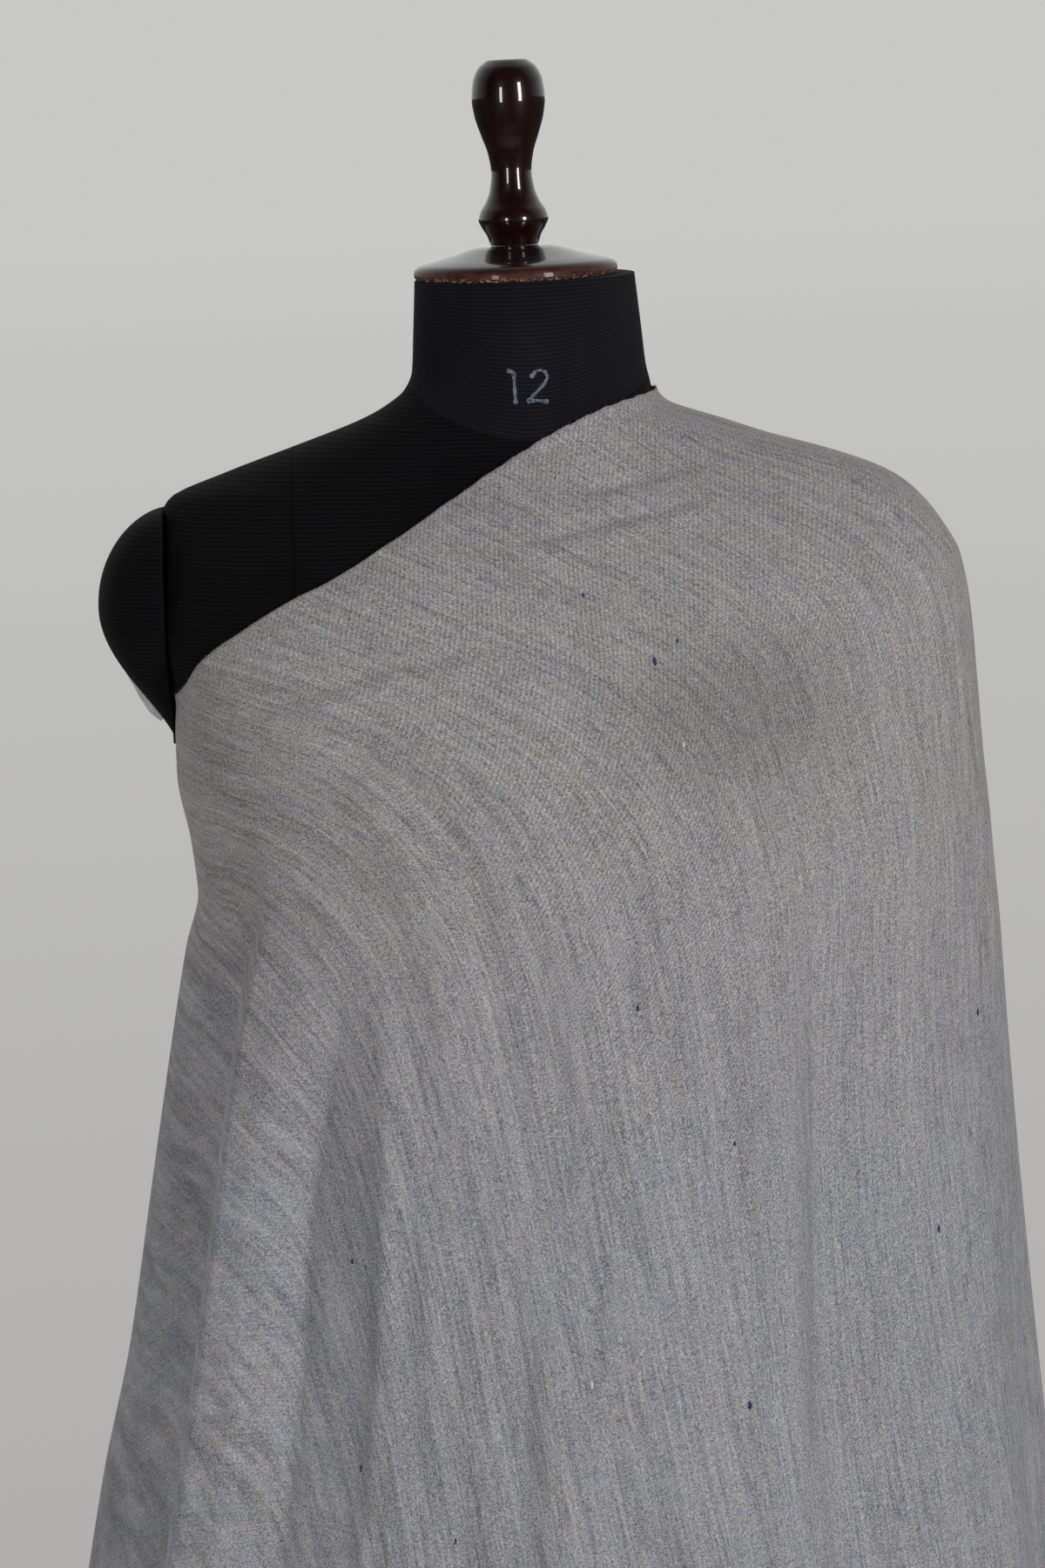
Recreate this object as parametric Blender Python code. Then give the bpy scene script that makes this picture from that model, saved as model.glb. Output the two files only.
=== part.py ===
"""Pashmina shawl draped over one shoulder of a limbless dress form.

Metres, +Z up.  The front faces -Y and +X is on the viewer's right.  The origin is the
centre of the base's underside.  The bearing of a point is its angle round the form's
upright axis: 0 at the front, 90 at +X, 180 at the back and -90 at -X.
The shawl starts at the back, passes under the bare arm at -X, crosses the chest to the
side of the neck, covers the shoulder at +X and comes down the back over its own start.
"""

import bmesh
import bpy
import numpy as np
from math import acos, atan2, cos, pi, radians, sin, tau

# ---------------------------------------------------------------- driving dimensions
SHAWL_WIDTH = 1.00          # top selvedge to lower selvedge, down the cloth
WALL = 0.0020               # cloth as modelled
REST_GAP = 0.0011           # cloth to the form under it
JOINT_GAP = 0.0003          # between pieces that touch
COVER = WALL + REST_GAP     # outer face of clinging cloth, above the form
LAP_LIFT = WALL + 0.0014    # outer end of the shawl, above its start

SEAM_FRONT_Z = 1.402        # neck band seam
SEAM_SIDE_Z = 1.428
SEAM_BACK_Z = 1.432
NECK_TOP_Z = 1.480
TORSO_BOTTOM_Z = 0.800

ARMHOLE_X = 0.1920          # plane of the armhole plates
CAP_BOTTOM_Z = 1.2490
# The arm caps: bearing, top, widest height, reach out of the armhole plane, half depth.
BARE_CAP = (-90.0, 1.3700, 1.3200, 0.0335, 0.0520)
COVERED_CAP = (90.0, 1.3550, 1.3050, 0.0240, 0.0400)
CAP_TIP_SHARE = 0.04        # of the cap's full size, at its rounded top and its point
CAP_TOP_POWER = 0.6         # rounder than a half circle
CAP_FOOT_POWER = 1.45       # drawn in towards the point

CROWN_X = -0.0045           # the neck cap and finial stand off the neck's centre
FINIAL_FOOT_Z = 1.4965

BASE_HEIGHT = 0.0340
POLE_RADIUS = 0.0160
COLLAR_HEIGHT = 0.0420
FLANGE_HEIGHT = 0.0080

# Where the shawl's stretches begin and end, as bearings in degrees.
COLUMN_STEP = 3.6           # the same columns in each stretch, so that the lap nests
FRONT_FROM, FRONT_TO = -90.0, 90.0
BACK_TO = 226.8             # hanging outer end
START_FROM = -169.2         # tucked inner end, the same place as 190.8
LAP_RISE_FROM, LAP_RISE_TO = 150.0, 184.0

# The dress form, one row for each level.
# height, bare side (-X), covered side (+X), front, back, squareness
FORM_LEVELS = np.array([
    (1.480, 0.0562, 0.0558, 0.0520, 0.0560, 2.00),
    (1.452, 0.0582, 0.0582, 0.0540, 0.0570, 2.00),
    (1.434, 0.0597, 0.0597, 0.0550, 0.0580, 2.00),
    (1.425, 0.0640, 0.0615, 0.0555, 0.0590, 2.00),
    (1.417, 0.0745, 0.0632, 0.0560, 0.0600, 1.95),
    (1.411, 0.0865, 0.0680, 0.0565, 0.0615, 1.90),
    (1.399, 0.1210, 0.0992, 0.0580, 0.0660, 1.80),
    (1.387, 0.1570, 0.1314, 0.0630, 0.0720, 1.80),
    (1.375, 0.1870, 0.1636, 0.0700, 0.0780, 1.90),
    (1.363, 0.1950, 0.1845, 0.0790, 0.0835, 2.00),
    (1.340, 0.2000, 0.1970, 0.0950, 0.0910, 2.25),
    (1.310, 0.1990, 0.1990, 0.1100, 0.0965, 2.40),
    (1.285, 0.1905, 0.1905, 0.1195, 0.0980, 2.40),
    (1.260, 0.1835, 0.1835, 0.1270, 0.0985, 2.40),
    (1.190, 0.1640, 0.1640, 0.1430, 0.0950, 2.35),
    (1.120, 0.1410, 0.1410, 0.1160, 0.0880, 2.20),
    (1.030, 0.1250, 0.1250, 0.0960, 0.0850, 2.15),
    (0.930, 0.1500, 0.1500, 0.1020, 0.1120, 2.15),
    (0.860, 0.1730, 0.1730, 0.1090, 0.1330, 2.20),
    (0.800, 0.1680, 0.1680, 0.1060, 0.1280, 2.20),
])

# The hanging cloth between its folds, one row for each level.
# height, bare side (-X), arm side (+X), front, back, squareness
DRAPE_LEVELS = np.array([
    (1.420, 0.0300, 0.0300, 0.0300, 0.0300, 2.00),
    (1.373, 0.0900, 0.1825, 0.0730, 0.0810, 2.10),
    (1.359, 0.1200, 0.1991, 0.0835, 0.0880, 2.30),
    (1.345, 0.1500, 0.2092, 0.0935, 0.0925, 2.45),
    (1.331, 0.1650, 0.2164, 0.1030, 0.0960, 2.55),
    (1.304, 0.1800, 0.2208, 0.1155, 0.1005, 2.60),
    (1.264, 0.1890, 0.2233, 0.1300, 0.1020, 2.55),
    (1.235, 0.1895, 0.2247, 0.1390, 0.1020, 2.50),
    (1.200, 0.1842, 0.2275, 0.1460, 0.1030, 2.40),
    (1.172, 0.1822, 0.2292, 0.1480, 0.1040, 2.35),
    (1.144, 0.1898, 0.2312, 0.1480, 0.1060, 2.30),
    (1.090, 0.2015, 0.2337, 0.1480, 0.1110, 2.20),
    (1.006, 0.2177, 0.2378, 0.1500, 0.1240, 2.15),
    (0.922, 0.2330, 0.2425, 0.1550, 0.1400, 2.15),
    (0.850, 0.2500, 0.2470, 0.1630, 0.1530, 2.15),
    (0.650, 0.2820, 0.2570, 0.1820, 0.1720, 2.15),
    (0.400, 0.3020, 0.2660, 0.2000, 0.1900, 2.15),
    (0.200, 0.3100, 0.2700, 0.2080, 0.2000, 2.15),
])

# The folds, one row for each: a ridge stands out and a valley has a negative depth.
# bearing at its top, bearing at the hem, height where it starts, depth at the hem,
# half width in degrees
FOLDS = np.array([
    (-84.0, -80.0, 1.15, -0.020, 8.0),
    (-64.0, -63.0, 1.18, 0.022, 7.0),
    (-52.0, -52.0, 1.20, 0.012, 7.0),
    (-37.0, -41.0, 1.16, -0.024, 8.0),
    (-28.5, -28.0, 1.12, 0.020, 5.5),
    (-22.5, -20.0, 1.08, -0.020, 4.5),
    (-6.0, -8.0, 1.05, 0.018, 8.0),
    (12.0, 8.0, 1.02, -0.008, 8.0),
    (24.0, 20.0, 1.05, 0.014, 7.0),
    (31.0, 29.5, 1.20, -0.014, 6.0),
    (42.0, 37.0, 1.12, 0.022, 4.5),
    (46.5, 44.0, 1.14, -0.024, 5.0),
    (57.0, 56.0, 1.20, 0.010, 7.0),
    (68.0, 67.0, 1.10, 0.020, 7.0),
    (79.0, 78.0, 1.06, -0.018, 6.0),
    (92.0, 91.0, 1.10, 0.014, 7.0),
    (104.0, 104.0, 1.22, -0.020, 6.0),
    (116.0, 117.0, 1.25, 0.022, 7.0),
    (128.0, 130.0, 1.24, -0.022, 6.0),
    (139.0, 142.0, 1.26, 0.022, 7.0),
    (151.0, 155.0, 1.22, -0.020, 6.0),
    (162.0, 167.0, 1.24, 0.024, 7.0),
    (174.0, 179.0, 1.20, -0.022, 6.5),
    (186.0, 191.0, 1.22, 0.020, 7.0),
    (198.0, 203.0, 1.16, -0.018, 6.0),
    (209.0, 214.0, 1.20, 0.020, 6.5),
    (222.0, 226.0, 1.16, -0.018, 6.5),
    (235.0, 238.0, 1.18, 0.022, 7.0),
    (248.0, 250.0, 1.12, -0.018, 6.0),
    (261.0, 264.0, 1.10, 0.020, 7.0),
])
FOLD_DEEPEST_Z = 0.38
FOLD_GROWTH = 1.25

# The hollow that the cloth bridges between the bust and the covered arm.
HOLLOW_BEARING, HOLLOW_Z, HOLLOW_DEPTH = 52.0, 1.262, 0.006
HOLLOW_HALF_BEARING, HOLLOW_HALF_HEIGHT = 16.0, 0.045
LEAVING_ROUND = 0.0015      # how softly the hanging cloth leaves the form

# The shawl's top selvedge, seen from the front: across, height.
SELVEDGE = np.array([
    (-0.1960, 1.2685),
    (-0.1850, 1.2805),
    (-0.1700, 1.3005),
    (-0.1350, 1.3245),
    (-0.0930, 1.3455),
    (-0.0540, 1.3685),
    (-0.0140, 1.3925),
    (0.0130, 1.4065),
    (0.0400, 1.4168),
    (0.0600, 1.4206),
    (0.0900, 1.4235),
])
SELVEDGE_SEARCH = (1.15, 1.45)
# The tucked start's selvedge, bearing and height.
START_SELVEDGE = np.array([
    (-169.2, 1.3045),
    (-140.0, 1.2905),
    (-115.0, 1.2765),
    (-90.0, 1.2685),
])

# The turned pieces, from top to bottom: radius, height above the piece's own foot.
BASE_PROFILE = [
    (0.0680, BASE_HEIGHT),
    (0.1005, 0.0312),
    (0.1330, 0.0250),
    (0.1655, 0.0188),
    (0.1980, 0.0160),
    (0.2060, 0.0140),
    (0.2100, 0.0100),
    (0.2100, 0.0040),
    (0.2070, 0.0000),
]
COLLAR_PROFILE = [
    (0.0240, COLLAR_HEIGHT),
    (0.0280, 0.0380),
    (0.0300, 0.0120),
    (0.0360, 0.0000),
]
FLANGE_PROFILE = [
    (0.0600, FLANGE_HEIGHT),
    (0.0580, 0.0000),
]
NECK_CAP_PROFILE = [
    (0.0150, 0.0159),
    (0.0216, 0.0152),
    (0.0310, 0.0122),
    (0.0475, 0.0083),
    (0.0516, 0.0042),
    (0.0518, 0.0020),
    (0.0504, 0.0000),
]
# The finial's curve: height above its foot, radius.
FINIAL_PROFILE = np.array([
    (0.0000, 0.0122),
    (0.0045, 0.0136),
    (0.0090, 0.0162),
    (0.0130, 0.0178),
    (0.0170, 0.0168),
    (0.0215, 0.0140),
    (0.0280, 0.0115),
    (0.0375, 0.0103),
    (0.0460, 0.0115),
    (0.0560, 0.0148),
    (0.0660, 0.0177),
    (0.0745, 0.0187),
    (0.0825, 0.0178),
    (0.0890, 0.0150),
    (0.0930, 0.0104),
])

# Mesh fineness.
UPPER_ROWS, LOWER_ROWS = 13, 10
UPPER_SHARE = 0.36          # of the cloth's width, where the rows are closer
SHAWL_ROWS = UPPER_ROWS + LOWER_ROWS
FORM_COLUMNS = 36
SHOULDER_END_Z = 1.26       # where the closer levels of the shoulders end
SHOULDER_SHARES = (0.0, 0.04, 0.09, 0.15, 0.21, 0.27, 0.33, 0.40, 0.50, 0.64, 0.82)
BODY_LEVELS = 13
NECK_LEVELS = 5
CAP_LEVELS, CAP_COLUMNS = 9, 10
FINIAL_LEVELS = 18
TURNED_SEGMENTS = 24

# Each finish: colour, roughness, metallic.
FINISHES = {
    "mahogany": ((0.035, 0.010, 0.009), 0.18, 0.0),
    "stand_wood": ((0.040, 0.013, 0.010), 0.30, 0.0),
    "pole_steel": ((0.55, 0.55, 0.56), 0.28, 1.0),
    "black_jersey": ((0.012, 0.012, 0.014), 0.85, 0.0),
    "pashmina": ((0.27, 0.27, 0.285), 0.90, 0.0),
}


# ---------------------------------------------------------------- curves through tables
def smooth(table, column, at):
    """Monotone cubic curve through one column of a table, against its first column."""
    if table[0, 0] > table[-1, 0]:
        table = table[::-1]
    x, y = table[:, 0], table[:, column]
    at = np.clip(at, x[0], x[-1])
    step = np.diff(x)
    slope = np.diff(y) / step
    tangent = np.zeros(len(x))
    tangent[0], tangent[-1] = slope[0], slope[-1]
    same_way = slope[:-1] * slope[1:] > 0
    mean = 2 * slope[:-1] * slope[1:] / np.where(same_way, slope[:-1] + slope[1:], 1.0)
    tangent[1:-1] = np.where(same_way, mean, 0.0)
    i = np.clip(np.searchsorted(x, at) - 1, 0, len(step) - 1)
    h = step[i]
    s = (at - x[i]) / h
    return (
        (1 + 2 * s) * (1 - s) ** 2 * y[i]
        + s * (1 - s) ** 2 * h * tangent[i]
        + s * s * (3 - 2 * s) * y[i + 1]
        + s * s * (s - 1) * h * tangent[i + 1]
    )


def ease(value):
    """Smooth step from 0 to 1."""
    value = np.clip(value, 0.0, 1.0)
    return value * value * (3 - 2 * value)


def section_radius(levels, bearing, height):
    """Distance from the axis of the rounded section in a table of levels."""
    across, along = np.sin(bearing), np.cos(bearing)
    bare, covered, front, back, power = (smooth(levels, c, height) for c in range(1, 6))
    half_width = np.where(across < 0, bare, covered)
    half_depth = np.where(along > 0, front, back)
    span = (np.abs(across) / half_width) ** power + (np.abs(along) / half_depth) ** power
    return span ** (-1 / power)


def form_radius(bearing, height):
    return section_radius(FORM_LEVELS, bearing, height)


# ---------------------------------------------------------------- the draped cloth
def fold_relief(bearing, height):
    """How far the folds carry the cloth in or out."""
    degrees = np.degrees(bearing)
    relief = np.zeros(np.broadcast(bearing, height).shape)
    for top, hem, start_z, depth, half_width in FOLDS:
        drop = np.clip((start_z - height) / (start_z - FOLD_DEEPEST_Z), 0.0, 1.15)
        centre = top + (hem - top) * drop
        away = (degrees - centre + 180) % 360 - 180
        relief += depth * drop ** FOLD_GROWTH * np.exp(-((away / half_width) ** 2))
    return relief


def hollow_relief(bearing, height):
    away = (np.degrees(bearing) - HOLLOW_BEARING) / HOLLOW_HALF_BEARING
    above = (height - HOLLOW_Z) / HOLLOW_HALF_HEIGHT
    return -HOLLOW_DEPTH * np.exp(-away**2 - above**2)


def cloth_radius(bearing, height):
    """Outer face of the cloth: it clings above the bust and hangs in folds below it."""
    clinging = form_radius(bearing, height - COVER) + COVER
    hanging = section_radius(DRAPE_LEVELS, bearing, height) + hollow_relief(bearing, height)
    difference = hanging - clinging
    blend = 0.5 * (difference + np.sqrt(difference**2 + LEAVING_ROUND**2))
    return clinging + blend + fold_relief(bearing, height)


def on_cloth(bearing, height, lift=0.0):
    """A point on the cloth's outer face, moved out along its normal by lift."""
    small = 1e-4

    def point(b, z):
        r = cloth_radius(b, z)
        return np.stack([r * np.sin(b), -r * np.cos(b), z + 0 * r], axis=-1)

    round_it = point(bearing + small, height) - point(bearing - small, height)
    up_it = point(bearing, height + small) - point(bearing, height - small)
    normal = np.cross(round_it, up_it)
    normal /= np.linalg.norm(normal, axis=-1, keepdims=True)
    return point(bearing, height) + normal * np.asarray(lift)[..., None]


def selvedge_height(bearing):
    """Height where the cloth's outer face meets the selvedge line at this bearing."""
    low, high = SELVEDGE_SEARCH
    for _ in range(40):
        middle = 0.5 * (low + high)
        across = cloth_radius(bearing, middle) * sin(bearing)
        if middle < smooth(SELVEDGE, 1, across):
            low = middle
        else:
            high = middle
    return 0.5 * (low + high)


def start_height(bearing):
    return smooth(START_SELVEDGE, 1, np.degrees(bearing))


def column_heights(bearing, top):
    """Heights of a column's rows, spaced down the cloth over the shawl's width."""
    heights = np.linspace(top, top - SHAWL_WIDTH, 900)
    radii = cloth_radius(bearing, heights)
    length = np.concatenate([[0.0], np.cumsum(np.hypot(np.diff(heights), np.diff(radii)))])
    upper = np.linspace(0.0, UPPER_SHARE, UPPER_ROWS, endpoint=False)
    lower = np.linspace(UPPER_SHARE, 1.0, LOWER_ROWS + 1)
    shares = np.concatenate([upper, lower])
    return np.interp(shares * SHAWL_WIDTH, length, heights)


# ---------------------------------------------------------------- mesh helpers
def finish(name, kind):
    """A piece's own material."""
    colour, roughness, metallic = FINISHES[kind]
    made = bpy.data.materials.new(f"{name}_{kind}")
    made.use_nodes = True
    shader = made.node_tree.nodes["Principled BSDF"]
    shader.inputs["Base Color"].default_value = (*colour, 1.0)
    shader.inputs["Roughness"].default_value = roughness
    shader.inputs["Metallic"].default_value = metallic
    return made


def add_object(name, bm, kind, parent, place=(0.0, 0.0, 0.0), turn=0.0, sharp_angle=40.0):
    bmesh.ops.recalc_face_normals(bm, faces=bm.faces)
    mesh = bpy.data.meshes.new(name)
    bm.to_mesh(mesh)
    bm.free()
    mesh.shade_smooth()
    mesh.set_sharp_from_angle(angle=radians(sharp_angle))
    mesh.materials.append(finish(name, kind))
    made = bpy.data.objects.new(name, mesh)
    made.location = place
    made.rotation_euler.z = turn
    made.parent = parent
    bpy.context.collection.objects.link(made)
    return made


def turned(name, profile, kind, parent, place, segments=TURNED_SEGMENTS, bore=None):
    """A turned piece: its outline spun round its own axis, solid or with a bore."""
    bm = bmesh.new()
    centre = 0.0 if bore is None else bore
    ends = [(centre, profile[0][1])], [(centre, profile[-1][1])]
    outline = [bm.verts.new((r, 0.0, z)) for r, z in ends[0] + profile + ends[1]]
    for pair in zip(outline, outline[1:]):
        bm.edges.new(pair)
    if bore is not None:
        bm.edges.new((outline[-1], outline[0]))
    bmesh.ops.spin(
        bm,
        geom=bm.verts[:] + bm.edges[:],
        cent=(0.0, 0.0, 0.0),
        axis=(0.0, 0.0, 1.0),
        angle=tau,
        steps=segments,
    )
    bmesh.ops.remove_doubles(bm, verts=bm.verts, dist=1e-6)
    return add_object(name, bm, kind, parent, place)


def lofted(name, rings, kind, parent, place=(0.0, 0.0, 0.0), turn=0.0):
    """A closed body through rings, top one first: a globe whose circles take their places.

    The globe's poles become the middles of a low fan over the first and the last ring.
    """
    bm = bmesh.new()
    columns, levels = len(rings[0]), len(rings) + 1
    bmesh.ops.create_uvsphere(bm, u_segments=columns, v_segments=levels, radius=1.0)
    circles = [[] for _ in range(levels + 1)]
    for vertex in bm.verts:
        circles[round(acos(max(-1.0, min(1.0, vertex.co.z))) / pi * levels)].append(vertex)
    for circle, ring in zip(circles[1:-1], rings):
        circle.sort(key=lambda vertex: (atan2(vertex.co.y, vertex.co.x) + 0.01) % tau)
        for vertex, point in zip(circle, ring):
            vertex.co = point
    circles[0][0].co = np.mean(rings[0], axis=0)
    circles[-1][0].co = np.mean(rings[-1], axis=0)
    return add_object(name, bm, kind, parent, place, turn)


# ---------------------------------------------------------------- the stand
def build_stand(parent):
    on_base = BASE_HEIGHT + JOINT_GAP
    flange_foot = TORSO_BOTTOM_Z - JOINT_GAP - FLANGE_HEIGHT
    pole_length = flange_foot - JOINT_GAP - on_base
    pole = [(POLE_RADIUS, pole_length), (POLE_RADIUS, 0.0)]
    bore = POLE_RADIUS + JOINT_GAP
    turned("base", BASE_PROFILE, "stand_wood", parent, (0.0, 0.0, 0.0), segments=40)
    turned("pole", pole, "pole_steel", parent, (0.0, 0.0, on_base))
    turned("collar", COLLAR_PROFILE, "pole_steel", parent, (0.0, 0.0, on_base), bore=bore)
    turned("flange", FLANGE_PROFILE, "stand_wood", parent, (0.0, 0.0, flange_foot))


# ---------------------------------------------------------------- the dress form
def seam_height(bearing):
    """The neck band's seam dips at the front."""
    ends = SEAM_FRONT_Z if cos(bearing) > 0 else SEAM_BACK_Z
    return SEAM_SIDE_Z + (ends - SEAM_SIDE_Z) * cos(bearing) ** 2


def form_ring(share, top_of, bottom_of):
    """Points of a level that lies a share of the way from one line down to another."""
    ring = []
    for i in range(FORM_COLUMNS):
        bearing = tau * i / FORM_COLUMNS
        height = top_of(bearing) + (bottom_of(bearing) - top_of(bearing)) * share
        radius = float(form_radius(bearing, height))
        across = min(max(radius * sin(bearing), -ARMHOLE_X), ARMHOLE_X)
        ring.append((across, -radius * cos(bearing), height))
    return ring


def build_torso(parent):
    rings = [
        form_ring(share, lambda b: seam_height(b) - JOINT_GAP, lambda b: SHOULDER_END_Z)
        for share in SHOULDER_SHARES
    ]
    rings += [
        form_ring(i / BODY_LEVELS, lambda b: SHOULDER_END_Z, lambda b: TORSO_BOTTOM_Z)
        for i in range(BODY_LEVELS + 1)
    ]
    lofted("torso", rings, "black_jersey", parent)


def build_neck(parent):
    rings = [
        form_ring(i / NECK_LEVELS, lambda b: NECK_TOP_Z, seam_height)
        for i in range(NECK_LEVELS + 1)
    ]
    lofted("neck_band", rings, "black_jersey", parent)


def cap_swell(height, top, widest):
    """Share of an arm cap's full size at a height: round above, drawn in below."""
    if height > widest:
        away = (height - widest) / (top - widest)
        return max(CAP_TIP_SHARE, max(0.0, 1 - away**2) ** CAP_TOP_POWER)
    away = (widest - height) / (widest - CAP_BOTTOM_Z)
    return max(CAP_TIP_SHARE, max(0.0, cos(away * pi / 2)) ** CAP_FOOT_POWER)


def build_arm_cap(name, shape, parent):
    """A half teardrop with its flat face on the armhole plate, domed outwards.

    It is modelled domed towards +X, with its point at the bottom, and turned in place.
    """
    bearing, top, widest, reach, half_depth = shape
    rings = []
    for k in range(CAP_LEVELS + 1):
        height = top + (CAP_BOTTOM_Z - top) * ease(k / CAP_LEVELS)
        swell = cap_swell(height, top, widest)
        swings = [pi * i / CAP_COLUMNS for i in range(CAP_COLUMNS + 1)]
        rings.append([
            (
                reach * swell * sin(swing),
                -half_depth * swell**CAP_TOP_POWER * cos(swing),
                height - CAP_BOTTOM_Z,
            )
            for swing in swings
        ])
    out = radians(bearing)
    plate = ARMHOLE_X + JOINT_GAP
    place = (plate * sin(out), -plate * cos(out), CAP_BOTTOM_Z)
    lofted(name, rings, "black_jersey", parent, place, turn=out - pi / 2)


def build_crown(parent):
    """The turned neck cap and the finial on it."""
    heights = np.linspace(FINIAL_PROFILE[-1, 0], FINIAL_PROFILE[0, 0], FINIAL_LEVELS)
    radii = smooth(FINIAL_PROFILE, 1, heights)
    finial = list(zip(radii.tolist(), heights.tolist()))
    cap_place = (CROWN_X, 0.0, NECK_TOP_Z + JOINT_GAP)
    turned("neck_cap", NECK_CAP_PROFILE, "mahogany", parent, cap_place, segments=32)
    turned("finial", finial, "mahogany", parent, (CROWN_X, 0.0, FINIAL_FOOT_Z))


# ---------------------------------------------------------------- the shawl
def lap_lift(bearing):
    """The outer end rides over the tucked start."""
    degrees = np.degrees(bearing)
    return LAP_LIFT * ease((degrees - LAP_RISE_FROM) / (LAP_RISE_TO - LAP_RISE_FROM))


def shawl_stretch(name, first, last, top_of, lift_of, parent):
    """One stretch of the cloth: a grid laid on the drape, with its wall drawn inwards."""
    columns = round((last - first) / COLUMN_STEP)
    outer, inner = [], []
    for i in range(columns + 1):
        bearing = radians(first + COLUMN_STEP * i)
        heights = column_heights(bearing, top_of(bearing))
        trim = {0: JOINT_GAP / 2, columns: -JOINT_GAP / 2}.get(i, 0.0)
        bearings = bearing + trim / cloth_radius(bearing, heights)
        lift = np.full(SHAWL_ROWS + 1, lift_of(bearing))
        outer.append(on_cloth(bearings, heights, lift))
        inner.append(on_cloth(bearings, heights, lift - WALL))
    bm = bmesh.new()
    bmesh.ops.create_grid(bm, x_segments=columns, y_segments=SHAWL_ROWS, size=0.5)
    drawn = bmesh.ops.extrude_face_region(bm, geom=bm.faces[:], use_keep_orig=True)
    inside = {item for item in drawn["geom"] if isinstance(item, bmesh.types.BMVert)}
    for vertex in bm.verts:
        i = round((vertex.co.x + 0.5) * columns)
        j = round((0.5 - vertex.co.y) * SHAWL_ROWS)
        vertex.co = inner[i][j] if vertex in inside else outer[i][j]
    add_object(name, bm, "pashmina", parent, sharp_angle=60.0)


def build_shawl(parent):
    def flat(bearing):
        return 0.0

    shawl_stretch("shawl_front", FRONT_FROM, FRONT_TO, selvedge_height, flat, parent)
    shawl_stretch("shawl_back", FRONT_TO, BACK_TO, selvedge_height, lap_lift, parent)
    shawl_stretch("shawl_start", START_FROM, FRONT_FROM, start_height, flat, parent)


def main():
    for old in list(bpy.data.objects):
        bpy.data.objects.remove(old)
    axis = bpy.data.objects.new("stand_axis", None)
    bpy.context.collection.objects.link(axis)
    build_stand(axis)
    build_torso(axis)
    build_neck(axis)
    build_arm_cap("arm_cap_bare", BARE_CAP, axis)
    build_arm_cap("arm_cap_covered", COVERED_CAP, axis)
    build_crown(axis)
    build_shawl(axis)


main()
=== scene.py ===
"""Looks of a pashmina shawl draped over one shoulder of a limbless dress form.

Metres, +Z up, front towards -Y.  A bearing is an angle round the form's upright axis:
0 at the front, 90 at +X (the covered shoulder), 180 at the back and -90 at -X.
"""

from math import cos, pi, radians, sin, tau

import bmesh
import bpy
import numpy as np
from mathutils import Matrix, Vector


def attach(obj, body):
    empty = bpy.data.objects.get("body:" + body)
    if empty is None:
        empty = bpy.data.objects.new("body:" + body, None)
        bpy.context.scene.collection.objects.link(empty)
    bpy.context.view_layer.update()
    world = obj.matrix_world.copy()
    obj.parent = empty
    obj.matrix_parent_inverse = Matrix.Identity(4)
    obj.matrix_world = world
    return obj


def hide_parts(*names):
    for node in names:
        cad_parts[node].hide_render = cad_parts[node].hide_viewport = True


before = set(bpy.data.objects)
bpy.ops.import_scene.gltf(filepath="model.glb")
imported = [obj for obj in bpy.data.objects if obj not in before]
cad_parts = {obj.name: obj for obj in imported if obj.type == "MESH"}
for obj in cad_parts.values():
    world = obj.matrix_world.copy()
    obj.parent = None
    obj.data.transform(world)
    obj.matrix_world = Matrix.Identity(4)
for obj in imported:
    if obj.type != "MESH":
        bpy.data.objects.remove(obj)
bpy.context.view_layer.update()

rng = np.random.default_rng(12)

# ------------------------------------------------------------------ sizes of the frame
SHAWL_WIDTH = 1.00
WALL = 0.0020
COVER = WALL + 0.0011
LAP_LIFT = WALL + 0.0014
CLOTH = 0.0009              # the shawl's real thickness

SEAM_FRONT_Z, SEAM_SIDE_Z, SEAM_BACK_Z = 1.402, 1.428, 1.432
NECK_TOP_Z, NECK_HALF_WIDTH = 1.480, 0.057
RIB_SPACING = 0.0021
TORSO_BOTTOM_Z = 0.800
JOINT_GAP = 0.0003
ARMHOLE_X = 0.1920
FORM_COLUMNS = 180
CAP_BOTTOM_Z = 1.2490
CROWN_X = -0.0045
FINIAL_FOOT_Z = 1.4965
BASE_HEIGHT = 0.0340
POLE_RADIUS = 0.0160
FLANGE_THICKNESS = 0.0080
FLANGE_RADIUS = 0.0600

# Bearings: the cloth's inner start and outer end, the place under the bare arm, and the
# stretch in which the outer end rises over the start.
START_FROM, BACK_TO = -169.2, 226.8
BARE_SIDE = -90.0
LAP_RISE_FROM, LAP_RISE_TO = 150.0, 184.0

# Heights between which the top selvedge is looked for.
SELVEDGE_BETWEEN_Z = (1.15, 1.45)

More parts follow.
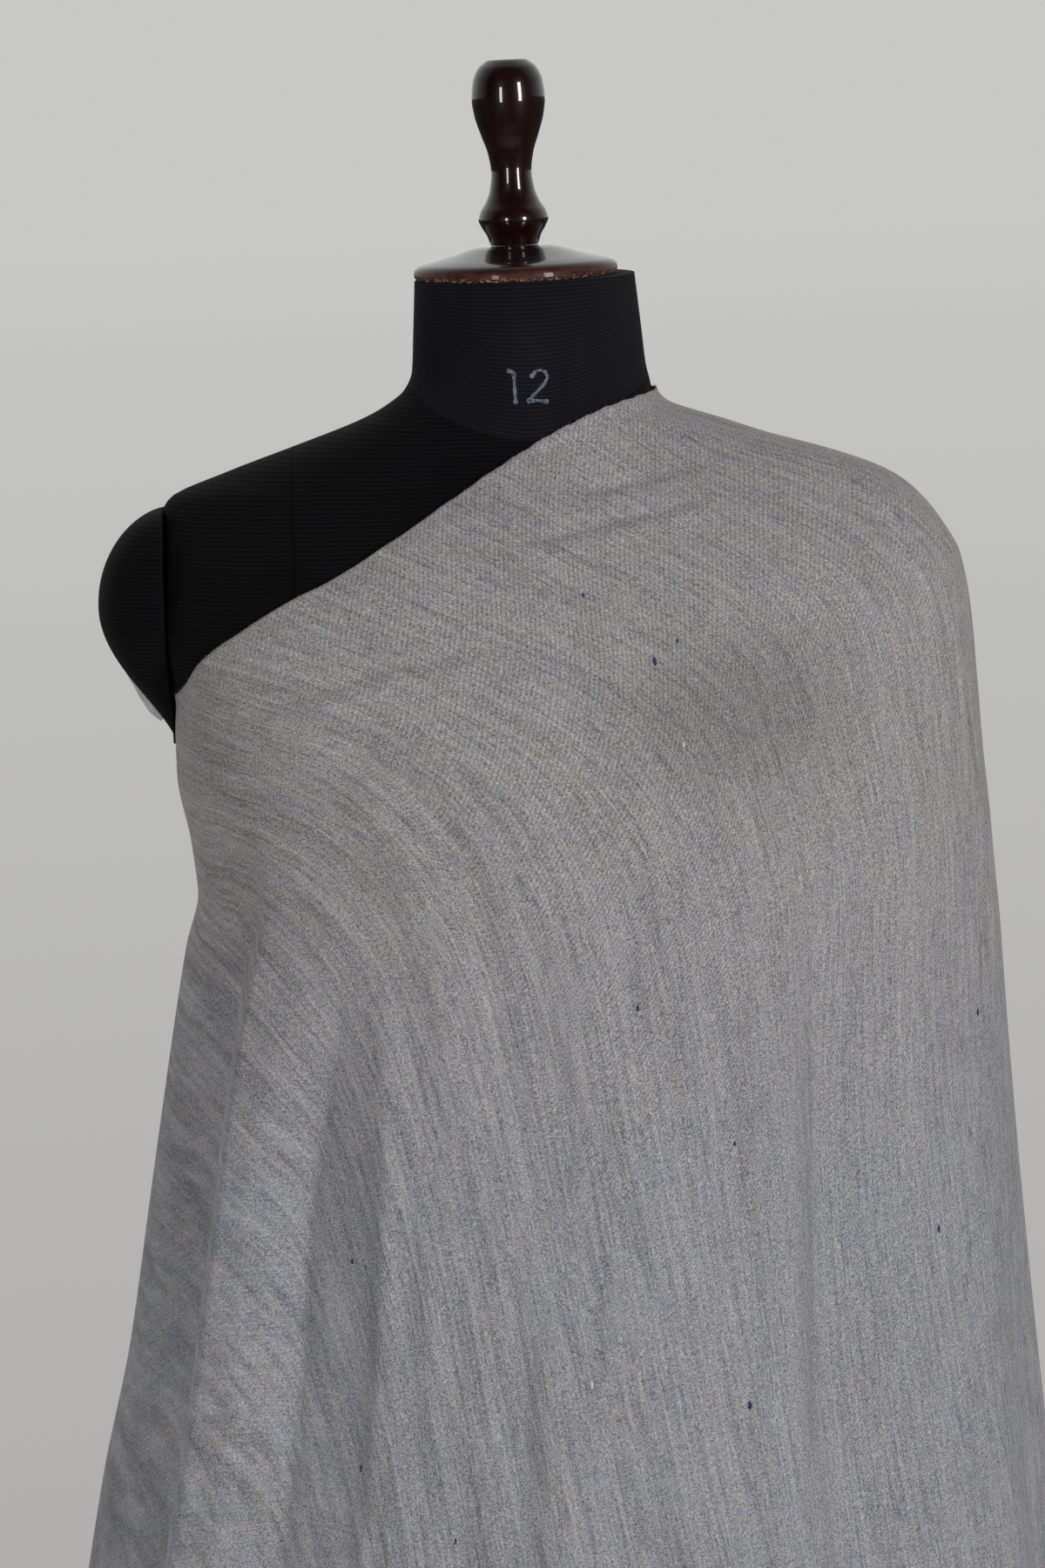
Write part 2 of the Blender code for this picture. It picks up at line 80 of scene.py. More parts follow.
# height, bare side (-X), covered side (+X), front, back, squareness
FORM_LEVELS = np.array([
    (1.480, 0.0562, 0.0558, 0.0520, 0.0560, 2.00),
    (1.452, 0.0582, 0.0582, 0.0540, 0.0570, 2.00),
    (1.434, 0.0597, 0.0597, 0.0550, 0.0580, 2.00),
    (1.425, 0.0640, 0.0615, 0.0555, 0.0590, 2.00),
    (1.417, 0.0745, 0.0632, 0.0560, 0.0600, 1.95),
    (1.411, 0.0865, 0.0680, 0.0565, 0.0615, 1.90),
    (1.399, 0.1210, 0.0992, 0.0580, 0.0660, 1.80),
    (1.387, 0.1570, 0.1314, 0.0630, 0.0720, 1.80),
    (1.375, 0.1870, 0.1636, 0.0700, 0.0780, 1.90),
    (1.363, 0.1950, 0.1845, 0.0790, 0.0835, 2.00),
    (1.340, 0.2000, 0.1970, 0.0950, 0.0910, 2.25),
    (1.310, 0.1990, 0.1990, 0.1100, 0.0965, 2.40),
    (1.285, 0.1905, 0.1905, 0.1195, 0.0980, 2.40),
    (1.260, 0.1835, 0.1835, 0.1270, 0.0985, 2.40),
    (1.190, 0.1640, 0.1640, 0.1430, 0.0950, 2.35),
    (1.120, 0.1410, 0.1410, 0.1160, 0.0880, 2.20),
    (1.030, 0.1250, 0.1250, 0.0960, 0.0850, 2.15),
    (0.930, 0.1500, 0.1500, 0.1020, 0.1120, 2.15),
    (0.860, 0.1730, 0.1730, 0.1090, 0.1330, 2.20),
    (0.800, 0.1680, 0.1680, 0.1060, 0.1280, 2.20),
])

# height, bare side (-X), arm side (+X), front, back, squareness
DRAPE_LEVELS = np.array([
    (1.420, 0.0300, 0.0300, 0.0300, 0.0300, 2.00),
    (1.373, 0.0900, 0.1825, 0.0730, 0.0810, 2.10),
    (1.359, 0.1200, 0.1991, 0.0835, 0.0880, 2.30),
    (1.345, 0.1500, 0.2092, 0.0935, 0.0925, 2.45),
    (1.331, 0.1650, 0.2164, 0.1030, 0.0960, 2.55),
    (1.304, 0.1800, 0.2208, 0.1155, 0.1005, 2.60),
    (1.264, 0.1890, 0.2233, 0.1300, 0.1020, 2.55),
    (1.235, 0.1895, 0.2247, 0.1390, 0.1020, 2.50),
    (1.200, 0.1842, 0.2275, 0.1460, 0.1030, 2.40),
    (1.172, 0.1822, 0.2292, 0.1480, 0.1040, 2.35),
    (1.144, 0.1898, 0.2312, 0.1480, 0.1060, 2.30),
    (1.090, 0.2015, 0.2337, 0.1480, 0.1110, 2.20),
    (1.006, 0.2177, 0.2378, 0.1500, 0.1240, 2.15),
    (0.922, 0.2330, 0.2425, 0.1550, 0.1400, 2.15),
    (0.850, 0.2500, 0.2470, 0.1630, 0.1530, 2.15),
    (0.650, 0.2820, 0.2570, 0.1820, 0.1720, 2.15),
    (0.400, 0.3020, 0.2660, 0.2000, 0.1900, 2.15),
    (0.200, 0.3100, 0.2700, 0.2080, 0.2000, 2.15),
])

# bearing at its top, bearing at the hem, start height, depth at the hem, half width
FOLDS = np.array([
    (-84.0, -80.0, 1.15, -0.020, 8.0),
    (-64.0, -63.0, 1.18, 0.022, 7.0),
    (-52.0, -52.0, 1.20, 0.012, 7.0),
    (-37.0, -41.0, 1.16, -0.024, 8.0),
    (-28.5, -28.0, 1.12, 0.020, 5.5),
    (-22.5, -20.0, 1.08, -0.020, 4.5),
    (-6.0, -8.0, 1.05, 0.018, 8.0),
    (12.0, 8.0, 1.02, -0.008, 8.0),
    (24.0, 20.0, 1.05, 0.014, 7.0),
    (31.0, 29.5, 1.20, -0.014, 6.0),
    (42.0, 37.0, 1.12, 0.022, 4.5),
    (46.5, 44.0, 1.14, -0.024, 5.0),
    (57.0, 56.0, 1.20, 0.010, 7.0),
    (68.0, 67.0, 1.10, 0.020, 7.0),
    (79.0, 78.0, 1.06, -0.018, 6.0),
    (92.0, 91.0, 1.10, 0.014, 7.0),
    (104.0, 104.0, 1.22, -0.020, 6.0),
    (116.0, 117.0, 1.25, 0.022, 7.0),
    (128.0, 130.0, 1.24, -0.022, 6.0),
    (139.0, 142.0, 1.26, 0.022, 7.0),
    (151.0, 155.0, 1.22, -0.020, 6.0),
    (162.0, 167.0, 1.24, 0.024, 7.0),
    (174.0, 179.0, 1.20, -0.022, 6.5),
    (186.0, 191.0, 1.22, 0.020, 7.0),
    (198.0, 203.0, 1.16, -0.018, 6.0),
    (209.0, 214.0, 1.20, 0.020, 6.5),
    (222.0, 226.0, 1.16, -0.018, 6.5),
    (235.0, 238.0, 1.18, 0.022, 7.0),
    (248.0, 250.0, 1.12, -0.018, 6.0),
    (261.0, 264.0, 1.10, 0.020, 7.0),
])
FOLD_DEEPEST_Z, FOLD_GROWTH = 0.38, 1.25
HOLLOW_BEARING, HOLLOW_Z, HOLLOW_DEPTH = 52.0, 1.262, 0.006
HOLLOW_HALF_BEARING, HOLLOW_HALF_HEIGHT = 16.0, 0.045
LEAVING_ROUND = 0.0015

# The top selvedge: x and height in front and at the back, then bearing and height for the
# tucked start.
SELVEDGE = np.array([
    (-0.1960, 1.2685),
    (-0.1850, 1.2805),
    (-0.1700, 1.3005),
    (-0.1350, 1.3245),
    (-0.0930, 1.3455),
    (-0.0540, 1.3685),
    (-0.0140, 1.3925),
    (0.0130, 1.4065),
    (0.0400, 1.4168),
    (0.0600, 1.4206),
    (0.0900, 1.4235),
])
START_SELVEDGE = np.array([
    (-169.2, 1.3045),
    (-140.0, 1.2905),
    (-115.0, 1.2765),
    (-90.0, 1.2685),
])

# The creases and sharper folds of the cloth, one row for each: how far it stands out
# (a trough is negative), half width across it, then bearing and depth below the
# selvedge of the points that it passes through.
CREASES = [
    (-0.0013, 0.0026, [
        (-2.5, 0.003), (6.5, 0.020), (13.5, 0.035), (28, 0.040), (45.5, 0.045), (57.5, 0.048),
        (66, 0.056),
    ]),
    (0.0009, 0.0042, [(11, 0.041), (28, 0.047), (45.5, 0.052), (60, 0.056)]),
    (-0.0015, 0.0028, [
        (-9, 0.052), (12.5, 0.055), (23.5, 0.058), (39, 0.063), (49, 0.065), (62, 0.070),
    ]),
    (0.0010, 0.0046, [(-4, 0.060), (12.5, 0.063), (23.5, 0.066), (39, 0.071), (58, 0.077)]),
    (-0.0014, 0.0034, [
        (-56, 0.046), (-52.5, 0.053), (-40.5, 0.078), (-33, 0.088), (-24, 0.098), (-10, 0.101),
    ]),
    (0.0013, 0.0052, [
        (-58, 0.056), (-52.5, 0.064), (-40.5, 0.089), (-33, 0.098), (-24, 0.108), (-12, 0.112),
    ]),
    (-0.0012, 0.0050, [(-66, 0.030), (-60, 0.046), (-50, 0.068), (-44, 0.082)]),
    (-0.0080, 0.0330, [
        (-6, 0.196), (9, 0.206), (29, 0.217), (43, 0.226), (58, 0.222), (68, 0.210),
    ]),
    (0.0030, 0.0280, [(6, 0.118), (22, 0.122), (44, 0.124), (60, 0.122)]),
    (0.0022, 0.0200, [(37.5, 0.250), (36.5, 0.290), (36, 0.340), (34, 0.420)]),
    (0.0014, 0.0110, [(20, 0.225), (18, 0.333), (16.5, 0.411), (16, 0.520)]),
    (-0.0024, 0.0170, [(-70, 0.110), (-62, 0.140), (-50, 0.160)]),
    (-0.0045, 0.0085, [
        (-29, 0.320), (-29, 0.360), (-29.5, 0.420), (-28.5, 0.470), (-27, 0.520), (-26.5, 0.620),
        (-26, 0.750),
    ]),
    (-0.0060, 0.0110, [(-10, 0.380), (-10, 0.484), (-10, 0.546), (-9.5, 0.640), (-9, 0.780)]),
    (-0.0032, 0.0080, [
        (-45.5, 0.085), (-35.5, 0.123), (-26, 0.155), (-19, 0.188), (-14, 0.226), (-12, 0.266),
        (-10, 0.306), (-6.5, 0.351),
        (-5, 0.400),
    ]),
    (0.0030, 0.0120, [
        (-38, 0.125), (-34.5, 0.148), (-28, 0.190), (-23.5, 0.233), (-21.5, 0.273), (-20, 0.313),
        (-19.5, 0.380),
    ]),
    (0.0024, 0.0085, [
        (-6, 0.316), (1.5, 0.383), (9.5, 0.444), (16.5, 0.511), (20, 0.566), (22, 0.640),
    ]),
    (-0.0016, 0.0080, [(75.5, 0.083), (73.5, 0.120), (71.5, 0.148), (69, 0.183), (67.5, 0.218)]),
    (-0.0014, 0.0080, [(29, 0.256), (29.5, 0.316), (29, 0.376), (28, 0.460)]),
    (0.0020, 0.0110, [(37, 0.300), (36, 0.420), (34, 0.540), (33, 0.680)]),
    (-0.0018, 0.0110, [(54, 0.250), (55, 0.336), (56, 0.401), (57, 0.520)]),
    (0.0014, 0.0130, [(72, 0.180), (78, 0.330), (80, 0.500)]),
    (-0.0015, 0.0070, [(98, 0.120), (112, 0.170), (126, 0.205)]),
    (-0.0016, 0.0085, [(120, 0.085), (136, 0.140), (152, 0.190)]),
    (0.0013, 0.0090, [(128, 0.105), (144, 0.160), (158, 0.215)]),
    (-0.0013, 0.0050, [(158, 0.045), (176, 0.070), (198, 0.115)]),
    (0.0011, 0.0060, [(162, 0.060), (180, 0.085), (204, 0.135)]),
    (-0.0012, 0.0070, [(-150, 0.050), (-128, 0.085), (-108, 0.105)]),
]
# The folds that turn away sharply, one row for each: the side that they turn to, -1 for
# the bare arm and 1 for the covered one, height of the crest, how far it runs out, depth
# beyond the crest, how far away that is, how far on the cloth is out again, then the
# points of the crest.
CRESTS = [
    (-1, 0.0055, 0.020, 0.0160, 0.028, 0.080, [
        (-60, 0.092), (-53, 0.118), (-51, 0.143), (-53.5, 0.168), (-56.5, 0.190), (-59, 0.226),
        (-60, 0.271),
        (-61.5, 0.343), (-62, 0.393), (-62, 0.459), (-62, 0.600), (-62.5, 0.800), (-63, 1.010),
    ]),
    (-1, 0.0032, 0.012, 0.0170, 0.046, 0.034, [
        (-33, 0.205), (-33, 0.251), (-32, 0.291), (-32.5, 0.321), (-33.5, 0.366), (-34.5, 0.441),
        (-37, 0.504),
        (-38, 0.600), (-39, 0.800), (-40, 1.000),
    ]),
    (1, 0.0018, 0.016, 0.0080, 0.017, 0.055, [
        (41, 0.225), (40.5, 0.301), (40.5, 0.363), (40, 0.426), (38, 0.484), (35.5, 0.560),
        (34, 0.680), (33, 0.900),
    ]),
]

# How far the streaks lean from straight down towards a growing bearing, in degrees:
# one row for each depth below the selvedge, one column for each bearing.
LEAN_BEARINGS = [-170, -130, -95, -75, -60, -45, -30, -15, 0, 15, 30, 45, 60, 90, 130, 227]
LEAN_ROWS = np.array([
    (0.00, 10, 45, 78, 80, 78, 79, 74, 68, 48, 46, 43, 29, 17, 10, 3, 0),
    (0.04, 10, 45, 78, 84, 82, 80, 75, 69, 52, 47, 41, 25, 14, 9, 3, 0),
    (0.08, 10, 45, 80, 85, 84, 81, 76, 70, 58, 51, 45, 26, 17, 7, 2, 0),
    (0.12, 10, 45, 80, 82, 76, 73, 69, 66, 61, 55, 48, 32, 18, 3, 1, 0),
    (0.15, 10, 45, 80, 76, 66, 62, 59, 57, 54, 50, 39, 25, 10, 0, 0, 0),
    (0.18, 10, 45, 80, 74, 58, 48, 46, 42, 38, 35, 26, 12, 1, -3, 0, 0),
    (0.21, 10, 45, 78, 74, 56, 38, 33, 30, 27, 24, 17, 4, -3, -4, 0, 0),
    (0.25, 10, 45, 78, 75, 54, 30, 20, 17, 16, 13, 9, -1, -4, -4, 0, 0),
    (0.30, 10, 44, 78, 77, 52, 27, 15, 11, 10, 10, 8, 0, -3, 0, 0, 0),
    (0.36, 10, 43, 76, 76, 49, 26, 12, 9, 9, 8, 6, 1, 0, 2, 0, 0),
    (0.45, 10, 40, 68, 66, 42, 24, 12, 9, 9, 9, 6, 0, 2, 3, 0, 0),
    (0.60, 10, 34, 50, 44, 28, 17, 12, 10, 10, 9, 6, 1, 3, 2, 0, 0),
    (1.00, 10, 24, 30, 22, 16, 12, 11, 11, 10, 6, 4, 0, 0, 0, 0, 0),
])

# The turned pieces: radius, height above the piece's own foot.
BASE_PROFILE = [
    (0.0000, 0.0342), (0.0300, 0.0342), (0.0680, 0.0340), (0.0850, 0.0332), (0.1005, 0.0312),
    (0.1330, 0.0250), (0.1655, 0.0188), (0.1830, 0.0167), (0.1980, 0.0160), (0.2060, 0.0140),
    (0.2100, 0.0100), (0.2100, 0.0040), (0.2070, 0.0000), (0.0000, 0.0000),
]
FINIAL_PROFILE = np.array([
    (0.0000, 0.0122),
    (0.0045, 0.0136),
    (0.0090, 0.0162),
    (0.0130, 0.0178),
    (0.0170, 0.0168),
    (0.0215, 0.0140),
    (0.0280, 0.0115),
    (0.0375, 0.0103),
    (0.0460, 0.0115),
    (0.0560, 0.0148),
    (0.0660, 0.0177),
    (0.0745, 0.0187),
    (0.0825, 0.0178),
    (0.0890, 0.0150),
    (0.0930, 0.0104),
])
NECK_CAP_PROFILE = [
    (0.0, 0.0159), (0.0150, 0.0159), (0.0200, 0.0155), (0.0240, 0.0144), (0.0310, 0.0122),
    (0.0400, 0.0100), (0.0475, 0.0081), (0.0500, 0.0070), (0.0513, 0.0052), (0.0518, 0.0032),
    (0.0516, 0.0014), (0.0504, 0.0002), (0.0, 0.0002),
]
COLLAR_PROFILE = [
    (0.0163, 0.042), (0.0225, 0.042), (0.0255, 0.0405), (0.0278, 0.037), (0.0290, 0.024),
    (0.0300, 0.012), (0.0330, 0.005), (0.0360, 0.002), (0.0360, 0.0), (0.0163, 0.0),
    (0.0163, 0.042),
]

# The size number, a one and a two: x and height along each stroke.
NUMBER_STROKES = [
    [(-0.0103, 1.4368), (-0.0088, 1.4362), (-0.0078, 1.4350)],
    [(-0.0079, 1.4354), (-0.0077, 1.4283), (-0.0075, 1.4213)],
    [
        (0.0012, 1.4338), (0.0030, 1.4359), (0.0056, 1.4366), (0.0082, 1.4353), (0.0090, 1.4330),
        (0.0074, 1.4299), (0.0042, 1.4267), (0.0010, 1.4236), (-0.0008, 1.4216),
    ],
    [(-0.0008, 1.4214), (0.0035, 1.4214), (0.0078, 1.4208)],
]
STROKE_HALF_WIDTH, STROKE_UNEVEN, STROKE_END_RADIUS = 0.00078, 0.00012, 0.00125
PAINT_LIFT, PAINT_END_LIFT = 0.00018, 0.00022

# The bare edge of the armhole plate: x and height down its outer side, then up again.
PLATE_OUTER = [
    (-0.2122, 1.2945), (-0.2146, 1.2895), (-0.2138, 1.2845), (-0.2108, 1.2785),
    (-0.2074, 1.2715), (-0.2030, 1.2640), (-0.1975, 1.2592),
]
PLATE_INNER = [(-0.1940, 1.2640), (-0.1975, 1.2760), (-0.2000, 1.2860), (-0.2050, 1.2945)]
PLATE_FRONT_Y, PLATE_THICKNESS = 0.0045, 0.0022

# Small knots and thick places in the yarn: bearing and height, for dark and pale ones.
DARK_NEPS = [
    (15, 1.128), (72.5, 1.104), (61.5, 1.001), (31.5, 0.925), (-39.5, 0.997), (-38.5, 0.895),
    (25, 1.297), (11.5, 1.330), (30, 1.303), (31.5, 1.056), (-21.5, 0.869), (118, 1.21),
    (143, 1.05), (171, 1.16), (203, 0.92), (-8, 0.62), (48, 0.55), (-60, 0.70), (98, 0.71),
    (160, 0.66),
]
PALE_NEPS = [(27.5, 1.256), (23, 1.046), (3.5, 0.941), (110, 1.02), (180, 0.98), (57, 0.66)]

# Painted shade below the bust: its middle, and how fast it fades along each axis.
PAINTED_SHADE_CENTRE = (0.096, -0.120, 1.270)
PAINTED_SHADE_FADING = (9.5, 4.5, 13.5)
PAINTED_SHADE_DARKNESS = 0.30
WALE_SPACING = 0.0027

# How the lines of the creases are followed: degrees that count as much as a metre of
# depth, points on each line, points that each of them is smoothed over, depth that a
# crease reaches beyond its line, and the shares in which it tapers in and out.
DEGREES_A_METRE = 150
LINE_POINTS, LINE_ROUNDING = 60, 7
LINE_REACH = 0.07
TAPER_IN, TAPER_OUT = 0.22, 0.30

# How the streaks are followed over the cloth: degrees between the columns, number of
# rows, metres of one step and the most steps.
WEAVE_TURN, WEAVE_ROWS = 1.5, 121
WEAVE_STEP, WEAVE_STEPS = 0.006, 420

# Soft boxes: bearing, distance, height, width and height of the box, power.
LIGHTS = {
    "softbox_right": (37.0, 2.6, 1.75, (0.45, 1.30), 41.0),
    "softbox_left": (-23.0, 2.6, 1.65, (0.34, 1.20), 19.6),
}
WORLD_FRONT, WORLD_BACK, FLOOR_GLOW = 0.02, 0.74, 0.86


# ------------------------------------------------------------------ curves and surfaces
def smooth(table, column, at):
    """Monotone cubic curve through one column of a table, against its first column."""
    if table[0, 0] > table[-1, 0]:
        table = table[::-1]
    x, y = table[:, 0], table[:, column]
    at = np.clip(at, x[0], x[-1])
    step = np.diff(x)
    slope = np.diff(y) / step
    tangent = np.zeros(len(x))
    tangent[0], tangent[-1] = slope[0], slope[-1]
    same_way = slope[:-1] * slope[1:] > 0
    mean = 2 * slope[:-1] * slope[1:] / np.where(same_way, slope[:-1] + slope[1:], 1.0)
    tangent[1:-1] = np.where(same_way, mean, 0.0)
    i = np.clip(np.searchsorted(x, at) - 1, 0, len(step) - 1)
    h = step[i]
    s = (at - x[i]) / h
    return (
        (1 + 2 * s) * (1 - s) ** 2 * y[i]
        + s * (1 - s) ** 2 * h * tangent[i]
        + s * s * (3 - 2 * s) * y[i + 1]
        + s * s * (s - 1) * h * tangent[i + 1]
    )


def ease(value):
    """From 0 to 1, level at both ends."""
    value = np.clip(value, 0.0, 1.0)
    return value * value * (3 - 2 * value)


def run_up(steps):
    """Distance from the first point to each one, from the steps between them."""
    return np.concatenate([[0.0], np.cumsum(steps)])


def section_radius(levels, bearing, height):
    across, along = np.sin(bearing), np.cos(bearing)
    bare, covered, front, back, power = (smooth(levels, c, height) for c in range(1, 6))
    half_width = np.where(across < 0, bare, covered)
    half_depth = np.where(along > 0, front, back)
    span = (np.abs(across) / half_width) ** power + (np.abs(along) / half_depth) ** power
    return span ** (-1 / power)


def form_radius(bearing, height):
    return section_radius(FORM_LEVELS, bearing, height)


def fold_relief(bearing, height):
    degrees = np.degrees(bearing)
    relief = np.zeros(np.broadcast(bearing, height).shape)
    for top, hem, start_z, depth, half_width in FOLDS:
        drop = np.clip((start_z - height) / (start_z - FOLD_DEEPEST_Z), 0.0, 1.15)
        centre = top + (hem - top) * drop
        away = (degrees - centre + 180) % 360 - 180
        relief += depth * drop ** FOLD_GROWTH * np.exp(-((away / half_width) ** 2))
    return relief


def hollow_relief(bearing, height):
    away = (np.degrees(bearing) - HOLLOW_BEARING) / HOLLOW_HALF_BEARING
    above = (height - HOLLOW_Z) / HOLLOW_HALF_HEIGHT
    return -HOLLOW_DEPTH * np.exp(-away**2 - above**2)


def cloth_radius(bearing, height):
    clinging = form_radius(bearing, height - COVER) + COVER
    hanging = section_radius(DRAPE_LEVELS, bearing, height) + hollow_relief(bearing, height)
    difference = hanging - clinging
    blend = 0.5 * (difference + np.sqrt(difference**2 + LEAVING_ROUND**2))
    return clinging + blend + fold_relief(bearing, height)


def round_point(radius, bearing, height):
    across, along = np.sin(bearing), np.cos(bearing)
    return np.stack([radius * across, -radius * along, height + 0 * radius], -1)


def selvedge_height(bearing):
    low, high = SELVEDGE_BETWEEN_Z
    for _ in range(40):
        middle = 0.5 * (low + high)
        if middle < smooth(SELVEDGE, 1, cloth_radius(bearing, middle) * sin(bearing)):
            low = middle
        else:
            high = middle
    return 0.5 * (low + high)


def top_height(bearing):
    """Height of the shawl's top edge at a bearing in radians, on each of its stretches."""
    if np.degrees(bearing) < BARE_SIDE:
        return float(smooth(START_SELVEDGE, 1, np.degrees(bearing)))
    return selvedge_height(bearing)


# ------------------------------------------------------------------ mesh helpers
def new_object(name, bm, sharp=None):
    mesh = bpy.data.meshes.new(name)
    bm.to_mesh(mesh)
    bm.free()
    mesh.shade_smooth()
    if sharp is not None:
        mesh.set_sharp_from_angle(angle=radians(sharp))
    made = bpy.data.objects.new(name, mesh)
    bpy.context.scene.collection.objects.link(made)
    return made


def grid_object(name, points, uv=None, closed=False, sharp=None):
    """A grid of columns and rows laid on points[column, row], seen from outside."""
    columns, rows = points.shape[0] - 1, points.shape[1] - 1
    bm = bmesh.new()
    bmesh.ops.create_grid(bm, x_segments=columns, y_segments=rows, size=0.5)
    layer = bm.loops.layers.uv.new("weave") if uv is not None else None
    place = {}
    for vertex in bm.verts:
        i = round((vertex.co.x + 0.5) * columns)
        j = round((0.5 - vertex.co.y) * rows)
        place[vertex] = (i, j)
        vertex.co = points[i, j]
    if layer is not None:
        for face in bm.faces:
            for loop in face.loops:
                loop[layer].uv = uv[place[loop.vert]]
    if closed:
        bmesh.ops.remove_doubles(bm, verts=bm.verts, dist=1e-6)
    return new_object(name, bm, sharp)


def spun(name, profile, segments, centre=(0.0, 0.0, 0.0), sharp=35.0):
    """A turned piece from an outline of radius and height, from top to bottom."""
    bm = bmesh.new()
    outline = [bm.verts.new((r, 0.0, z)) for r, z in profile]
    for pair in zip(outline, outline[1:]):
        bm.edges.new(pair)
    bmesh.ops.spin(
        bm,
        geom=bm.verts[:] + bm.edges[:],
        cent=(0.0, 0.0, 0.0),
        axis=(0.0, 0.0, 1.0),
        angle=tau,
        steps=segments,
    )
    bmesh.ops.remove_doubles(bm, verts=bm.verts, dist=1e-6)
    bmesh.ops.recalc_face_normals(bm, faces=bm.faces)
    bmesh.ops.translate(bm, verts=bm.verts, vec=centre)
    return new_object(name, bm, sharp)


def dress(piece, material, slot, *nodes):
    """Gives a piece its material and its body, and hides the CAD nodes that it stands for. The slot
    is not used.
    """
    piece.data.materials.append(material)
    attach(piece, "root")
    if nodes:
        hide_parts(*nodes)


# ------------------------------------------------------------------ node helpers
class Nodes:
    """Short calls for building a node tree."""

    def __init__(self, tree):
        self.tree = tree

    def put(self, socket, value):
        """Links a socket, or gives it a plain value."""
        if isinstance(value, bpy.types.NodeSocket):
            self.tree.links.new(value, socket)
        else:
            socket.default_value = value

    def add(self, kind, inputs=(), **settings):
        node = self.tree.nodes.new(kind)
        for key, value in settings.items():
            setattr(node, key, value)
        for key, value in dict(inputs).items():
            self.put(node.inputs[key], value)
        return node

    def feed(self, node, **inputs):
        for key, value in inputs.items():
            self.put(node.inputs[key.replace("_", " ")], value)

    def use(self, tree, **inputs):
        """Places a node group and gives its outputs."""
        return self.add("ShaderNodeGroup", inputs, node_tree=tree).outputs

    def math(self, operation, *values):
        return self.add("ShaderNodeMath", enumerate(values), operation=operation).outputs[0]

    def total(self, first, *others):
        for value in others:
            first = self.math("ADD", first, value)
        return first

    def mix(self, factor, first, second, blend="MIX"):
        node = self.add("ShaderNodeMix", data_type="RGBA", blend_type=blend)
        for index, value in ((0, factor), (6, first), (7, second)):
            self.put(node.inputs[index], value)
        return node.outputs[2]

    def noise(self, vector, detail, roughness=0.5):
        inputs = {"Vector": vector, "Scale": 1.0, "Detail": detail, "Roughness": roughness}
        return self.add("ShaderNodeTexNoise", inputs, noise_dimensions="3D").outputs[0]

    def spread(self, value, low, high, to_low=0.0, to_high=1.0, way="LINEAR"):
        inputs = {0: value, 1: low, 2: high, 3: to_low, 4: to_high}
        node = self.add("ShaderNodeMapRange", inputs, clamp=True, interpolation_type=way)
        return node.outputs[0]

    def scaled(self, vector, scale, offset=(0.0, 0.0, 0.0)):
        if not isinstance(scale, tuple):
            scale = (scale, scale, scale)
        inputs = {0: vector, 1: scale, 2: offset}
        return self.add("ShaderNodeVectorMath", inputs, operation="MULTIPLY_ADD").outputs[0]

    def length(self, vector):
        node = self.add("ShaderNodeVectorMath", {0: vector}, operation="LENGTH")
        return node.outputs["Value"]

    def split(self, vector):
        return self.add("ShaderNodeSeparateXYZ", {0: vector}).outputs[:3]

    def place(self):
        return self.add("ShaderNodeTexCoord").outputs["Object"]

    def bump(self, height, strength, distance):
        inputs = {"Height": height, "Strength": strength, "Distance": distance}
        return self.add("ShaderNodeBump", inputs).outputs[0]


def new_material(name, **principled):
    made = bpy.data.materials.new(name)
    made.use_nodes = True
    shader = made.node_tree.nodes["Principled BSDF"]
    for key, value in principled.items():
        shader.inputs[key.replace("_", " ")].default_value = value
    return made, Nodes(made.node_tree), shader


def group(name, inputs, outputs):
    """An empty node group with its sockets: name, kind and start value of each."""
    tree = bpy.data.node_groups.new(name, "ShaderNodeTree")
    for label, kind, value in inputs:
        socket = tree.interface.new_socket(label, in_out="INPUT", socket_type=kind)
        if value is not None:
            socket.default_value = value
    for label, kind in outputs:
        tree.interface.new_socket(label, in_out="OUTPUT", socket_type=kind)
    n = Nodes(tree)
    start = n.add("NodeGroupInput").outputs
    end = n.add("NodeGroupOutput")
    return tree, n, start, end


# ------------------------------------------------------------------ the camera
def add_camera():
    """Close in on the upper half, from a little above, with the picture turned slightly."""
    distance, pitch, roll, span = 2.6, radians(9.2), radians(2.5), 0.81
    target = Vector((-0.0124, 0.0, 1.219))
    back = Vector((0.0, -cos(pitch), sin(pitch)))
    right = Vector((1.0, 0.0, 0.0))
    up = back.cross(right)
    across = right * cos(roll) - up * sin(roll)
    upright = up * cos(roll) + right * sin(roll)
    data = bpy.data.cameras.new("camera")
    data.sensor_width = 36.0
    data.lens = 36.0 * distance / span
    camera = bpy.data.objects.new("camera", data)
    turned = Matrix((across, upright, back)).transposed().to_4x4()
    camera.matrix_world = Matrix.Translation(target + back * distance) @ turned
    bpy.context.scene.collection.objects.link(camera)
    bpy.context.scene.camera = camera


# ------------------------------------------------------------------ the shawl's shape
def rounded(values):
    """Rounds off the corners of a line, given as one coordinate of its points."""
    padded = np.pad(values, LINE_ROUNDING // 2, mode="edge")
    return np.convolve(padded, np.ones(LINE_ROUNDING) / LINE_ROUNDING, "valid")


